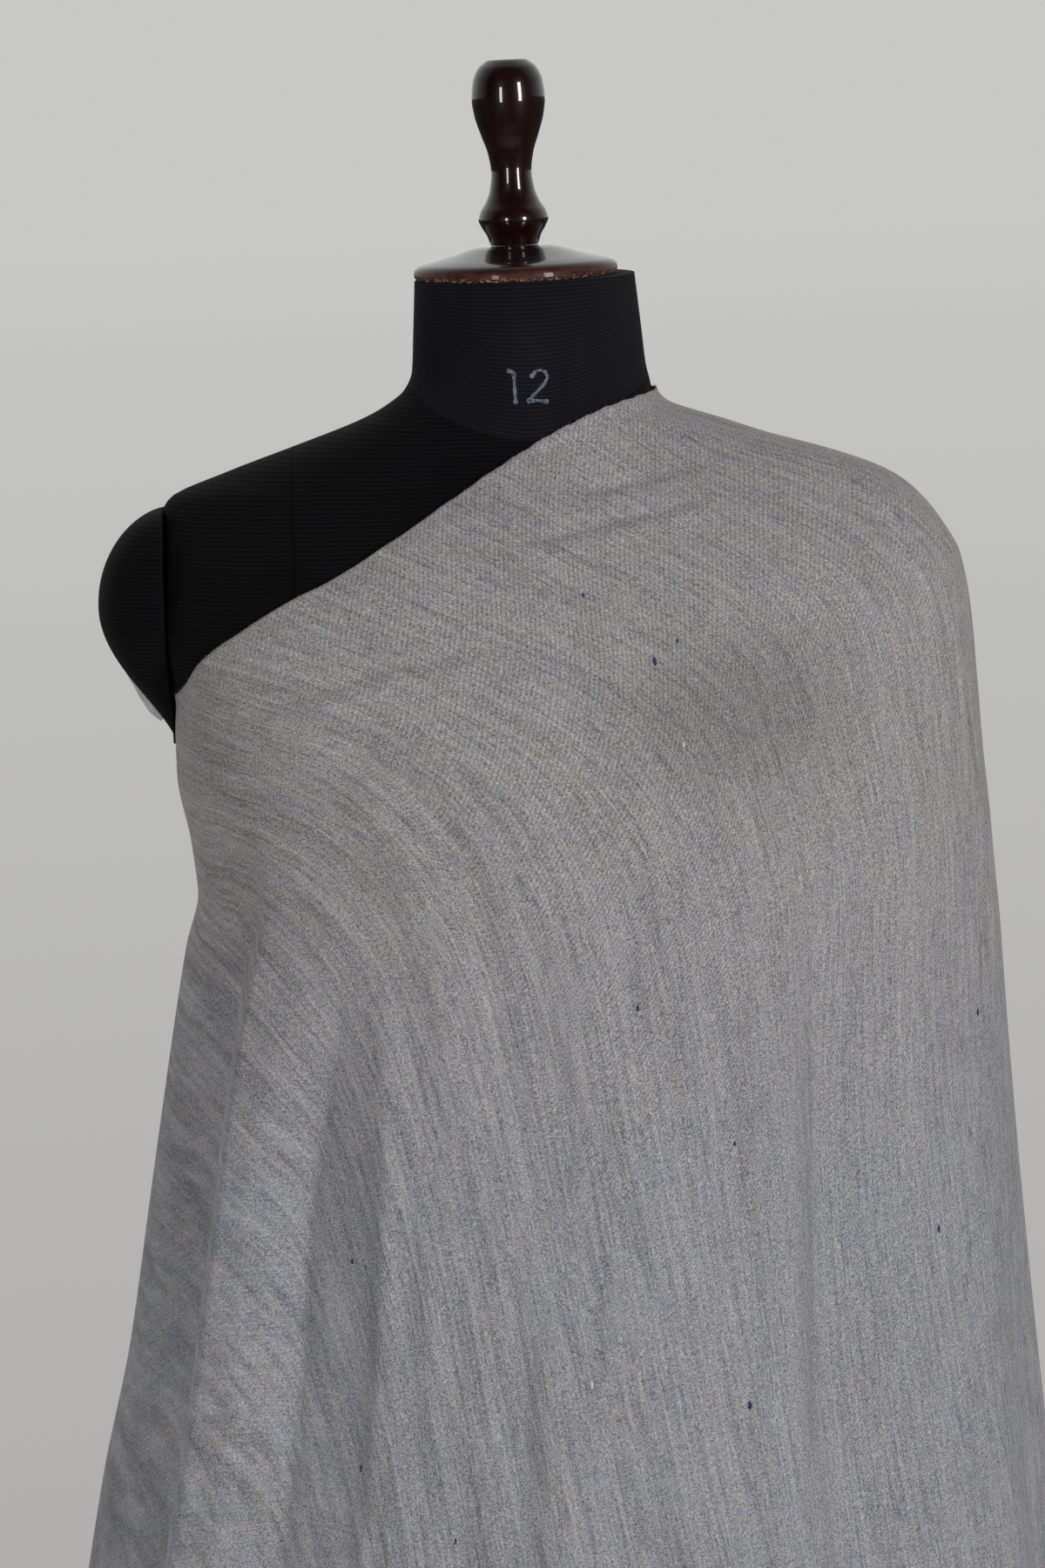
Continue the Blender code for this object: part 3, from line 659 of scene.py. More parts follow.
def near_line(line, bearing, depth, points, reach=radians(22)):
    """Distance from each point of the cloth to a line on it, the side and the share along.

    The side is positive towards a growing bearing.
    """
    line = np.array(line, float)
    step = run_up(np.hypot(np.diff(line[:, 0]) / DEGREES_A_METRE, np.diff(line[:, 1])))
    share = np.linspace(0.0, 1.0, LINE_POINTS)
    at_b = rounded(np.radians(np.interp(share * step[-1], step, line[:, 0])))
    at_d = rounded(np.interp(share * step[-1], step, line[:, 1]))
    i = np.clip(np.searchsorted(bearing, at_b) - 1, 0, len(bearing) - 2)
    f = ((at_b - bearing[i]) / (bearing[i + 1] - bearing[i]))[:, None]
    row = depth[0]
    j = np.clip(np.searchsorted(row, at_d) - 1, 0, len(row) - 2)
    g = np.clip((at_d - row[j]) / (row[j + 1] - row[j]), 0.0, 1.0)[:, None]
    on_line = (
        (1 - f) * ((1 - g) * points[i, j] + g * points[i, j + 1])
        + f * ((1 - g) * points[i + 1, j] + g * points[i + 1, j + 1])
    )
    near_b = (bearing > at_b.min() - reach) & (bearing < at_b.max() + reach)
    near_d = (row > at_d.min() - LINE_REACH) & (row < at_d.max() + LINE_REACH)
    near = np.ix_(near_b, near_d)
    flat = points[near].reshape(-1, 3)
    best = np.full(len(flat), 1e9)
    where = np.zeros(len(flat))
    for k in range(len(on_line) - 1):
        start, run = on_line[k], on_line[k + 1] - on_line[k]
        t = np.clip(((flat - start) @ run) / (run @ run), 0.0, 1.0)
        away = ((flat - start - t[:, None] * run) ** 2).sum(-1)
        closer = away < best
        best[closer] = away[closer]
        where[closer] = share[k] + t[closer] * (share[k + 1] - share[k])
    away = np.full(depth.shape, 1e3)
    away[near] = np.sqrt(best).reshape(near_b.sum(), near_d.sum())
    along = np.zeros(depth.shape)
    along[near] = where.reshape(near_b.sum(), near_d.sum())
    return away, np.sign(bearing[:, None] - np.interp(along, share, at_b)), along


def crease_relief(bearing, depth, points):
    """Troughs and ridges that taper off at both ends, and the folds that turn sharply."""
    relief = np.zeros(depth.shape)
    for k, (height, half_width, line) in enumerate(CREASES):
        away, _, share = near_line(line, bearing, depth, points)
        taper = ease(share / TAPER_IN) * ease((1 - share) / TAPER_OUT)
        uneven = 1 + 0.22 * np.sin(share * 17 + 2.1 * k) + 0.12 * np.sin(share * 41 + k)
        relief += height * taper * uneven * np.exp(-((away / half_width) ** 2))
    for turn, rise, rise_run, deep, width, out_again, line in CRESTS:
        away, side, share = near_line(line, bearing, depth, points, radians(45))
        side = -turn * side
        crest = rise * np.exp(-np.hypot(away, 0.002) / np.where(side > 0, rise_run, 0.007))
        grown = ease(share / TAPER_IN)
        width = width * (0.35 + 0.65 * grown)
        back_out = ease((away - width) / out_again)
        drop = deep * np.clip(away / width, 0.0, 1.0) ** 1.2 * (1 - back_out)
        relief += grown * (crest - np.where(side > 0, 0.0, drop))
    return relief


def streak_lean(bearing, depth):
    """Lean of the streaks in radians, for columns and rows of the cloth."""
    degrees = np.degrees(bearing)
    rows = np.array([np.interp(degrees, LEAN_BEARINGS, row[1:]) for row in LEAN_ROWS])
    lean = np.array([np.interp(depth, LEAN_ROWS[:, 0], rows[:, i]) for i in range(len(degrees))])
    return np.radians(lean)


class Lattice:
    """Values on even columns and rows, read between them."""

    def __init__(self, bearing, depth):
        self.first, self.step = bearing[0], bearing[1] - bearing[0]
        self.row = depth[1] - depth[0]
        self.columns, self.rows = len(bearing), len(depth)

    def read(self, values, bearing, depth):
        x = np.clip((bearing - self.first) / self.step, 0, self.columns - 1.001)
        y = np.clip(depth / self.row, 0, self.rows - 1.001)
        i, j = x.astype(int), y.astype(int)
        f, g = x - i, y - j
        if values.ndim > 2:
            f, g = f[..., None], g[..., None]
        low = (1 - g) * values[i, j] + g * values[i, j + 1]
        high = (1 - g) * values[i + 1, j] + g * values[i + 1, j + 1]
        return (1 - f) * low + f * high


def weave_coordinates(bearing, depth):
    """Where each point lies in the weave: metres across the streaks and along them.

    Each streak is followed back to the selvedge, or to the shawl's inner end.
    """
    columns = np.radians(np.arange(START_FROM, BACK_TO + 0.1, WEAVE_TURN))
    rows = np.linspace(0.0, 1.0, WEAVE_ROWS)
    lattice = Lattice(columns, rows)
    points = plain_points(columns, rows)[0]
    across = np.gradient(points, columns, axis=0)
    down = np.gradient(points, rows, axis=1)
    down /= np.linalg.norm(down, axis=-1, keepdims=True)
    slip = (across * down).sum(-1)
    level = np.sqrt((across**2).sum(-1) - slip**2)
    lean = streak_lean(columns, rows)
    pace_b = np.sin(lean) / level
    pace_d = np.cos(lean) - slip * pace_b
    pace = np.stack([pace_b, pace_d], -1)
    spacing = np.abs(level * np.cos(lean) - slip * np.sin(lean))

    b = np.repeat(columns[:, None], len(rows), axis=1)
    d = np.repeat(rows[None, :], len(columns), axis=0)
    length = np.zeros(b.shape)
    going = np.ones(b.shape, bool)
    step = WEAVE_STEP
    for _ in range(WEAVE_STEPS):
        if not going.any():
            break
        here_b, here_d = b[going], d[going]
        first = lattice.read(pace, here_b, here_d)
        half_b = here_b - 0.5 * step * first[:, 0]
        half_d = here_d - 0.5 * step * first[:, 1]
        middle = lattice.read(pace, half_b, half_d)
        share = np.ones(len(here_b))
        leaves = here_d - step * middle[:, 1] < 0
        share[leaves] = here_d[leaves] / (step * middle[leaves, 1])
        ends = here_b - step * middle[:, 0] * share < columns[0]
        share[ends] = (here_b[ends] - columns[0]) / (step * middle[ends, 0])
        b[going] = here_b - step * share * middle[:, 0]
        d[going] = here_d - step * share * middle[:, 1]
        length[going] += step * share
        going[going] = share >= 1.0
    top = run_up(0.5 * (spacing[1:, 0] + spacing[:-1, 0]) * np.diff(columns))
    along_end = np.sin(lean[0]) * rows[1]
    end = -run_up(along_end[1:])
    by_end = d > 1e-6
    u = np.interp(b, columns, top)
    u[by_end] = np.interp(d[by_end], rows, end)
    v = length + np.where(by_end, d, 0.0)
    grid_b = np.repeat(bearing[:, None], len(depth), axis=1)
    grid_d = np.repeat(depth[None, :], len(bearing), axis=0)
    return lattice.read(np.stack([u, v], -1), grid_b, grid_d)


def shawl_columns():
    """Bearings of the cloth's columns, closer in front."""
    return np.radians(np.concatenate([
        np.arange(START_FROM, -100.0, 2.0),
        np.arange(-100.0, -66.0, 1.4),
        np.arange(-66.0, 68.0, 0.9),
        np.arange(68.0, 100.0, 1.4),
        np.linspace(100.0, BACK_TO, 74),
    ]))


def plain_points(bearing, rows):
    """The draped cloth before its small creases."""
    heights = np.empty((len(bearing), len(rows)))
    for i, b in enumerate(bearing):
        top = top_height(b)
        fall = np.linspace(top, top - SHAWL_WIDTH, 500)
        radius = cloth_radius(b, fall)
        length = run_up(np.hypot(np.diff(fall), np.diff(radius)))
        heights[i] = np.interp(rows * SHAWL_WIDTH, length, fall)
    turn = np.broadcast_to(bearing[:, None], heights.shape)
    radius = cloth_radius(turn, heights)
    points = round_point(radius, turn, heights)
    normal = np.cross(np.gradient(points, axis=0), -np.gradient(points, axis=1))
    normal /= np.linalg.norm(normal, axis=-1, keepdims=True)
    depth = np.broadcast_to(rows * SHAWL_WIDTH, heights.shape)
    return points, normal, depth, turn


def shawl_points(bearing, rows):
    """The draped cloth with its creases, its outer end laid over its start."""
    points, normal, depth, turn = plain_points(bearing, rows)
    rise = (np.degrees(turn) - LAP_RISE_FROM) / (LAP_RISE_TO - LAP_RISE_FROM)
    lift = LAP_LIFT * ease(rise) + crease_relief(bearing, depth, points)
    # At its top edge the cloth lies close on the form.
    lift = lift - 0.0011 * np.exp(-((depth / 0.012) ** 2))
    points = points + normal * lift[..., None]
    # The selvedge itself is a little uneven.
    uneven = 0.00025 * np.sin(turn * 31) + 0.00012 * np.sin(turn * 67 + 1)
    points[..., 2] += uneven * np.exp(-depth / 0.010)
    # The troughs go no deeper than the form.
    seen_from = np.arctan2(points[..., 0], -points[..., 1])
    least = form_radius(seen_from, points[..., 2]) + 0.0016
    radius = np.hypot(points[..., 0], points[..., 1])
    points[..., :2] *= np.maximum(1.0, least / radius)[..., None]
    return points, normal


def build_shawl(material):
    bearing = shawl_columns()
    rows = np.concatenate([
        np.linspace(0.0, 0.12, 46, endpoint=False),
        np.linspace(0.12, 0.36, 44, endpoint=False),
        np.linspace(0.36, 1.0, 54),
    ])
    points, normal = shawl_points(bearing, rows)
    uv = weave_coordinates(bearing, rows)
    shawl = grid_object("shawl", points, uv)
    shell = shawl.modifiers.new("thickness", "SOLIDIFY")
    shell.thickness = CLOTH
    shell.offset = -1.0
    dress(shawl, material, "pashmina", "shawl_front", "shawl_back", "shawl_start")
    return shawl, bearing, points, normal


# ------------------------------------------------------------------ materials
def thread_group():
    """Brightness of threads that run along V: its width and its run are in metres."""
    tree, n, start, end = group(
        "thread_streaks",
        [
            ("Vector", "NodeSocketVector", None),
            ("Width", "NodeSocketFloat", 0.001),
            ("Run", "NodeSocketFloat", 0.03),
            ("Shift", "NodeSocketFloat", 0.0),
            ("Contrast", "NodeSocketFloat", 1.0),
        ],
        [("Value", "NodeSocketFloat")],
    )
    across, along, _ = n.split(start["Vector"])
    x = n.math("DIVIDE", across, start["Width"])
    y = n.math("DIVIDE", along, start["Run"])
    noise = n.noise(n.add("ShaderNodeCombineXYZ", {0: x, 1: y, 2: start["Shift"]}).outputs[0], 1.0)
    n.feed(end, Value=n.math("MULTIPLY", n.math("SUBTRACT", noise, 0.5), start["Contrast"]))
    return tree


def rib_group():
    """Fine ribs of knitted jersey across a coordinate, with stitches between them."""
    tree, n, start, end = group(
        "knitted_ribs",
        [
            ("Vector", "NodeSocketVector", None),
            ("Across", "NodeSocketFloat", 0.0),
            ("Spacing", "NodeSocketFloat", 0.0021),
        ],
        [("Height", "NodeSocketFloat")],
    )
    wander = n.noise(n.scaled(start["Vector"], 9.0), 2.0)
    across = n.math("MULTIPLY_ADD", wander, 0.003, start["Across"])
    phase = n.math("DIVIDE", across, start["Spacing"])
    rib = n.math("MULTIPLY_ADD", n.math("SINE", n.math("MULTIPLY", phase, tau)), 0.5, 0.5)
    stitch = n.noise(n.scaled(start["Vector"], (900.0, 900.0, 1500.0)), 1.0)
    n.feed(end, Height=n.math("MULTIPLY_ADD", rib, 0.6, n.math("MULTIPLY", stitch, 0.4)))
    return tree


def pashmina_material(threads):
    made, n, shader = new_material(
        "pashmina_twill",
        Roughness=0.95,
        Sheen_Weight=0.13,
        Sheen_Roughness=0.5,
        Specular_IOR_Level=0.10,
    )
    uv = n.add("ShaderNodeUVMap", uv_map="weave").outputs[0]
    u, v, _ = n.split(uv)
    place = n.place()
    x, y, z = n.split(place)
    turned = n.add("ShaderNodeCombineXYZ", {0: v, 1: u}).outputs[0]

    def streak(width, run, shift, contrast, vector=uv):
        outputs = n.use(
            threads, Vector=vector, Width=width, Run=run, Shift=shift, Contrast=contrast
        )
        return outputs[0]

    # Light and dark yarns, from broad soft bands to single threads, both ways of the cloth.
    # Towards the bare side the bands show more and the twill less.
    clear = n.spread(n.math("MULTIPLY_ADD", z, 0.7, x), 0.70, 0.86)
    loud = n.spread(clear, 0.0, 1.0, 2.0, 1.0)
    in_front = n.spread(y, -0.02, 0.06, 1.0, 0.5)
    bands = n.total(
        streak(0.0150, 0.400, 1.3, 0.15),
        streak(0.0050, 0.150, 4.1, 0.17),
        streak(0.0019, 0.070, 7.9, 0.32),
    )
    grit = n.noise(n.scaled(place, 1250.0), 1.0)
    tone = n.total(
        n.math("MULTIPLY", bands, n.math("MULTIPLY", loud, in_front)),
        streak(0.0009, 0.030, 2.6, 0.75),
        streak(0.0008, 0.0060, 5.2, 0.50, turned),
        n.math("MULTIPLY_ADD", grit, 2.3, -1.15),
    )

    # Twill: slanting wales of the two yarns in turn, broken where the threads vary.
    wander = n.noise(n.scaled(uv, (160.0, 160.0, 0.0)), 2.0)
    wale = n.math("ADD", n.math("ADD", u, v), n.math("MULTIPLY", wander, 0.0012))
    wave = n.math("SINE", n.math("MULTIPLY", wale, tau / WALE_SPACING))
    wave_height = n.spread(clear, 0.0, 1.0, 0.12, 1.05)
    wave = n.math("MULTIPLY_ADD", n.math("MULTIPLY", wave, 0.5), wave_height, 0.5)
    fleck = n.noise(n.scaled(place, 1100.0, (3.0, 7.0, 1.0)), 1.0)
    yarn = n.total(
        n.math("MULTIPLY", wave, 0.62),
        n.total(streak(0.0060, 0.050, 11.7, 0.3), streak(0.0009, 0.012, 13.1, 0.8)),
        n.math("MULTIPLY_ADD", fleck, 1.5, -0.56),
    )
    yarn = n.math("MINIMUM", n.math("MAXIMUM", yarn, 0.0), 1.0)
    colour = n.mix(yarn, (0.188, 0.212, 0.258, 1), (0.345, 0.312, 0.280, 1))
    bright = n.math("MAXIMUM", n.math("ADD", tone, 1.0), 0.45)
    grey = n.add("ShaderNodeCombineColor", {0: bright, 1: bright, 2: bright}).outputs[0]
    colour = n.mix(1.0, colour, grey, "MULTIPLY")

    # Short dark and long pale runs of single yarns, and the paler selvedge.
    dark_run = n.spread(streak(0.0013, 0.014, 17.3, 1.0), 0.17, 0.26)
    dark_run = n.math("MULTIPLY", dark_run, n.spread(clear, 0.0, 1.0, 0.15, 0.62))
    colour = n.mix(dark_run, colour, (0.075, 0.102, 0.172, 1))
    pale_run = n.spread(streak(0.0012, 0.030, 19.7, 1.0), 0.19, 0.28)
    colour = n.mix(n.math("MULTIPLY", pale_run, 0.45), colour, (0.46, 0.44, 0.41, 1))
    selvedge = n.spread(v, 0.0006, 0.0026, 0.35, 0.0)
    colour = n.mix(selvedge, colour, (0.30, 0.30, 0.31, 1))

    # Painted light: the upper half is tinted more beige and the lower half painted a little
    # brighter and bluer, for how the light grazes the nap. Below the bust, painted shade darkens
    # the cloth.
    painted_sheen_upper = n.spread(z, 1.02, 1.24)
    painted_sheen_tint = n.mix(painted_sheen_upper, (1.005, 1.02, 1.055, 1), (1.03, 1.0, 0.975, 1))
    colour = n.mix(1.0, colour, painted_sheen_tint, "MULTIPLY")
    # Painted shade: the cloth is darkened below the bust.
    away = n.add("ShaderNodeVectorMath", {0: place, 1: PAINTED_SHADE_CENTRE}, operation="SUBTRACT")
    away = n.length(n.scaled(away.outputs[0], PAINTED_SHADE_FADING))
    painted_shade = n.spread(away, 0.0, 1.0, PAINTED_SHADE_DARKNESS, 0.0, "SMOOTHERSTEP")
    colour = n.mix(painted_shade, colour, (0.03, 0.024, 0.018, 1))

    height = n.total(n.math("MULTIPLY", wave, 0.5), n.math("MULTIPLY", fleck, 0.6))
    n.feed(shader, Base_Color=colour, Normal=n.bump(height, 0.5, 0.0005))
    return made


def jersey_material(name, ribs, dark, light, dips=0.0, seams=()):
    """Black knit.  The ribs dip in the middle by dips, towards the neck seam."""
    made, n, shader = new_material(
        name, Roughness=0.9, Sheen_Weight=0.02, Specular_IOR_Level=0.08
    )
    place = n.place()
    x, _, z = n.split(place)
    side = n.math("POWER", n.math("DIVIDE", x, NECK_HALF_WIDTH), 2.0)
    low = n.spread(z, SEAM_FRONT_Z, NECK_TOP_Z, dips, 0.0)
    across = n.math("SUBTRACT", z, n.math("MULTIPLY", side, low))
    height = n.use(ribs, Vector=place, Across=across, Spacing=RIB_SPACING)[0]
    # Painted shade: the grooves between the ribs are painted darker than their crests, more in some
    # soft patches than others.
    shade_patches = n.noise(n.scaled(place, (26.0, 26.0, 14.0)), 3.0)
    shade = n.math("MULTIPLY", height, n.spread(shade_patches, 0.3, 0.7, 0.6, 1.3))
    colour = n.mix(shade, dark, light)
    for at, width in seams:
        gap = n.math("ABSOLUTE", n.math("SUBTRACT", n.math("ABSOLUTE", x), at))
        line = n.spread(gap, width, 2 * width, 1.0, 0.0)
        colour = n.mix(n.math("MULTIPLY", line, 0.9), colour, (0.0006, 0.0006, 0.0008, 1))
        height = n.math("SUBTRACT", height, line)
    n.feed(shader, Base_Color=colour, Normal=n.bump(height, 0.5, 0.0005))
    return made


def grain_group():
    """Straight grain along Z: its tone, dark to light, and its finest lines."""
    tree, n, start, end = group(
        "wood_grain",
        [("Vector", "NodeSocketVector", None)],
        [("Tone", "NodeSocketFloat"), ("Fine", "NodeSocketFloat")],
    )
    fine = n.noise(n.scaled(start["Vector"], (240.0, 240.0, 22.0)), 4.0, 0.6)
    broad = n.noise(n.scaled(start["Vector"], (30.0, 30.0, 9.0), (4.0, 1.0, 2.0)), 2.0)
    tone = n.math("MULTIPLY_ADD", fine, 0.6, n.math("MULTIPLY", broad, 0.4))
    n.feed(end, Tone=n.spread(tone, 0.35, 0.68), Fine=fine)
    return tree


def wood_material(name, grain, dark, light, roughness, coat, worn_rim=False):
    made, n, shader = new_material(
        name,
        Roughness=roughness,
        Coat_Weight=coat,
        Coat_Roughness=0.03,
        Specular_IOR_Level=0.12,
    )
    place = n.place()
    tone, fine = n.use(grain, Vector=place)
    colour = n.mix(tone, dark, light)
    rough = n.math("MULTIPLY_ADD", fine, 0.1, roughness - 0.05)
    if worn_rim:
        # The rim of the neck cap is rubbed, and chipped to bare wood at its foot.
        x, y, z = n.split(place)
        x = n.math("SUBTRACT", x, CROWN_X)
        radius = n.math("ADD", n.math("POWER", x, 2.0), n.math("POWER", y, 2.0))
        near_edge = n.spread(n.math("SQRT", radius), 0.0480, 0.0505)
        below_top = n.spread(z, NECK_TOP_Z + 0.0050, NECK_TOP_Z + 0.0075, 1.0, 0.0)
        rim = n.math("MULTIPLY", near_edge, below_top)
        rub = n.spread(n.noise(n.scaled(place, (160.0, 160.0, 260.0)), 4.0, 0.65), 0.30, 0.62, 0.25)
        colour = n.mix(n.math("MULTIPLY", rim, rub), colour, (0.070, 0.024, 0.017, 1))
        foot = n.spread(z, NECK_TOP_Z + 0.0010, NECK_TOP_Z + 0.0030, 1.0, 0.0)
        chip = n.spread(n.noise(n.scaled(place, (520.0, 520.0, 700.0)), 3.0, 0.6), 0.52, 0.62)
        chip = n.math("MULTIPLY", n.math("MULTIPLY", chip, foot), rim)
        colour = n.mix(chip, colour, (0.40, 0.27, 0.19, 1))
        rough = n.math("MAXIMUM", rough, n.math("MULTIPLY", rim, 0.42))
        n.feed(shader, Coat_Weight=n.math("MULTIPLY_ADD", rim, -0.75, coat))
    n.feed(shader, Base_Color=colour, Roughness=rough, Normal=n.bump(fine, 0.06, 0.0004))
    return made


def steel_material(name):
    made, n, shader = new_material(name, Metallic=1.0)
    brush = n.noise(n.scaled(n.place(), (90.0, 90.0, 2200.0)), 3.0)
    colour = n.mix(brush, (0.42, 0.42, 0.43, 1), (0.58, 0.58, 0.60, 1))
    n.feed(shader, Base_Color=colour, Roughness=n.spread(brush, 0.3, 0.7, 0.24, 0.36))
    return made


def speckled_material(name, first, second, scale, low, high):
    """Two tones in soft patches: worn paint, loose fibre or board."""
    made, n, shader = new_material(name, Roughness=0.8, Specular_IOR_Level=0.2)
    patch = n.noise(n.scaled(n.place(), scale), 3.0, 0.6)
    n.feed(shader, Base_Color=n.mix(n.spread(patch, low, high), first, second))
    return made


# ------------------------------------------------------------------ the dress form
def seam_height(bearing):
    """Height of the neck seam at a bearing."""
    along = np.cos(bearing)
    ends = np.where(along > 0, SEAM_FRONT_Z, SEAM_BACK_Z)
    return SEAM_SIDE_Z + (ends - SEAM_SIDE_Z) * along**2


def form_surface(top, bottom, rows, power=1.0):
    """Points of the form's skin between two lines, given as heights by bearing."""
    turn = np.linspace(0.0, tau, FORM_COLUMNS + 1)[:, None]
    share = (np.linspace(0.0, 1.0, rows) ** power)[None, :]
    height = top(turn) + (bottom(turn) - top(turn)) * share
    radius = form_radius(turn, height)
    turn = np.broadcast_to(turn, radius.shape)
    points = round_point(radius, turn, height)
    # The jersey rounds over the flat armhole plates.
    for side in (-1.0, 1.0):
        past = side * points[..., 0] - ARMHOLE_X
        points[..., 0] -= side * 0.5 * (past + np.sqrt(past**2 + 0.0035**2))
    return points


def capped(points):
    """Draws the first and last row in to a middle point, so the body is closed."""
    top = np.broadcast_to(points[:-1, :1].mean(axis=0), points[:, :1].shape)
    bottom = np.broadcast_to(points[:-1, -1:].mean(axis=0), points[:, -1:].shape)
    return np.concatenate([top, points, bottom], axis=1)


def flat_height(value):
    """A line at one height all round."""
    return lambda turn: np.full(np.shape(turn), value)


def build_form(jersey, neck_knit_painted_sheen):
    shoulders = form_surface(
        lambda b: seam_height(b) - JOINT_GAP, flat_height(TORSO_BOTTOM_Z), 150, power=1.5
    )
    torso = grid_object("torso_jersey", capped(shoulders), closed=True, sharp=50)
    dress(torso, jersey, "jersey", "torso")
    band = form_surface(flat_height(NECK_TOP_Z), seam_height, 40)
    neck = grid_object("neck_knit_painted_sheen", capped(band), closed=True, sharp=50)
    dress(neck, neck_knit_painted_sheen, "jersey", "neck_band")


def cap_swell(height, top, widest):
    """How much of its full reach an arm cap has at a height."""
    if height > widest:
        away = (height - widest) / (top - widest)
        return max(0.04, max(0.0, 1 - away**2) ** 0.6)
    away = (widest - height) / (widest - CAP_BOTTOM_Z)
    return max(0.04, max(0.0, cos(away * pi / 2)) ** 1.45)


def build_arm_cap(name, node, shape, material):
    """A padded cap on the armhole plate.

    Its shape is its side, the heights of its top and widest place, its reach and half depth.
    """
    side, top, widest, reach, half_depth = shape
    rows, columns = 60, 44
    points = np.empty((columns + 2, rows, 3))
    for k in range(rows):
        height = top + (CAP_BOTTOM_Z - top) * float(ease(k / (rows - 1)))
        swell = cap_swell(height, top, widest)
        for i in range(columns + 1):
            swing = pi * i / columns
            out = ARMHOLE_X - 0.0024 + (reach + 0.0027) * swell**0.98 * sin(swing) ** 0.92
            points[i, k] = (side * out, -half_depth * swell**0.6 * cos(swing), height)
        points[columns + 1, k] = points[0, k]
    if side < 0:
        points = points[::-1]
    cap = grid_object(name, capped(points), closed=True, sharp=50)
    dress(cap, material, "jersey", node)


def build_crown(finial_wood, cap_wood):
    heights = np.linspace(FINIAL_PROFILE[-1, 0], 0.0, 90)
    radii = smooth(FINIAL_PROFILE, 1, heights)
    profile = [(0.0, float(heights[0]) + 0.0004), (0.006, float(heights[0]) + 0.0003)]
    profile += [(float(r), float(z)) for r, z in zip(radii, heights)] + [(0.0, 0.0)]
    finial = spun("finial_turned", profile, 96, (CROWN_X, 0.0, FINIAL_FOOT_Z))
    dress(finial, finial_wood, "mahogany", "finial")
    foot = (CROWN_X, 0.0, NECK_TOP_Z + JOINT_GAP)
    dress(spun("neck_cap_turned", NECK_CAP_PROFILE, 128, foot), cap_wood, "mahogany", "neck_cap")


def on_neck(x, z, lift):
    """A point on the front of the neck, for the number's paint."""
    bearing = 0.0
    for _ in range(12):
        bearing = np.arcsin(x / float(form_radius(np.float64(bearing), np.float64(z))))
    radius = float(form_radius(np.float64(bearing), np.float64(z))) + lift
    return Vector((radius * sin(bearing), -radius * cos(bearing), z))


def build_number(paint):
    """The size number, in worn brush strokes with round ends."""
    bm = bmesh.new()
    for stroke in NUMBER_STROKES:
        line = np.array(stroke)
        run = run_up(np.hypot(*np.diff(line, axis=0).T))
        count = max(4, int(run[-1] / 0.0006))
        at = np.linspace(0.0, run[-1], count)
        x, z = np.interp(at, run, line[:, 0]), np.interp(at, run, line[:, 1])
        dx, dz = np.gradient(x), np.gradient(z)
        size = np.hypot(dx, dz)
        half = STROKE_HALF_WIDTH + STROKE_UNEVEN * np.sin(at * 900)
        out_x, out_z = -dz / size * half, dx / size * half
        pairs = [
            [
                bm.verts.new(on_neck(x[i] + side * out_x[i], z[i] + side * out_z[i], PAINT_LIFT))
                for side in (1, -1)
            ]
            for i in range(count)
        ]
        for (a, b), (c, d) in zip(pairs, pairs[1:]):
            bm.faces.new((a, b, d, c))
        for end in (0, -1):
            ring = []
            for turn in np.linspace(0.0, tau, 14, endpoint=False):
                end_x = x[end] + STROKE_END_RADIUS * cos(turn)
                end_z = z[end] + STROKE_END_RADIUS * sin(turn)
                ring.append(bm.verts.new(on_neck(end_x, end_z, PAINT_END_LIFT)))
            bm.faces.new(ring)
    for face in bm.faces:
        face.normal_update()
        if face.normal.y > 0:
            face.normal_flip()
    dress(new_object("size_number", bm), paint, "jersey")


def build_plate_edge(board):
    """The pale edge of the armhole plate, bare beside the foot of the arm cap."""
    bm = bmesh.new()
    outline = [bm.verts.new((x, PLATE_FRONT_Y, z)) for x, z in PLATE_OUTER + PLATE_INNER]
    face = bm.faces.new(outline)
    made = bmesh.ops.extrude_face_region(bm, geom=[face], use_keep_orig=True)
    moved = [item for item in made["geom"] if isinstance(item, bmesh.types.BMVert)]
    bmesh.ops.translate(bm, verts=moved, vec=(0.0, PLATE_THICKNESS, 0.0))
    bmesh.ops.recalc_face_normals(bm, faces=bm.faces)
    plate = new_object("armhole_plate_edge", bm, 30)
    bevel = plate.modifiers.new("rounded", "BEVEL")
    bevel.width = 0.0004
    bevel.segments = 2
    dress(plate, board, "jersey")


def add_spike(bm, root, tip, width):
    """A thin three-sided fibre."""
    root, tip = Vector(root), Vector(tip)
    axis = (tip - root).normalized()
    side = axis.orthogonal().normalized()
    other = axis.cross(side)
    ring = [
        bm.verts.new(root + width * (side * cos(turn) + other * sin(turn)))
        for turn in (0.0, 2.09, 4.19)
    ]
    end = bm.verts.new(tip)
    for a, b in ((0, 1), (1, 2), (2, 0)):
        bm.faces.new((ring[a], ring[b], end))
    bm.faces.new(ring[::-1])


def build_fuzz(fibre, points, normal):
    """Short loose fibres along the top selvedge."""
    edge, out = points[:, 0], normal[:, 0]
    down = points[:, 1] - points[:, 0]
    down /= np.linalg.norm(down, axis=-1, keepdims=True)
    run = run_up(np.linalg.norm(np.diff(edge, axis=0), axis=-1))
    bm = bmesh.new()
    place = 0.0
    while place < run[-1] - 0.001:
        place += 0.0006 + 0.0008 * rng.random()
        here, outward, downward = (
            np.array([np.interp(place, run, values[:, k]) for k in range(3)])
            for values in (edge, out, down)
        )
        root = here - outward * (0.0001 + 0.0006 * rng.random()) + downward * 0.0006
        along = np.cross(outward, downward)
        way = -downward + 0.35 * outward * (rng.random() - 0.1)
        way = way + 0.8 * along * (rng.random() - 0.5)
        way /= np.linalg.norm(way)
        length = 0.0012 + 0.0016 * rng.random() ** 2
        add_spike(bm, root, root + way * length, 0.00011)
    fuzz = new_object("selvedge_fuzz", bm)
    dress(fuzz, fibre, "pashmina")
    return fuzz


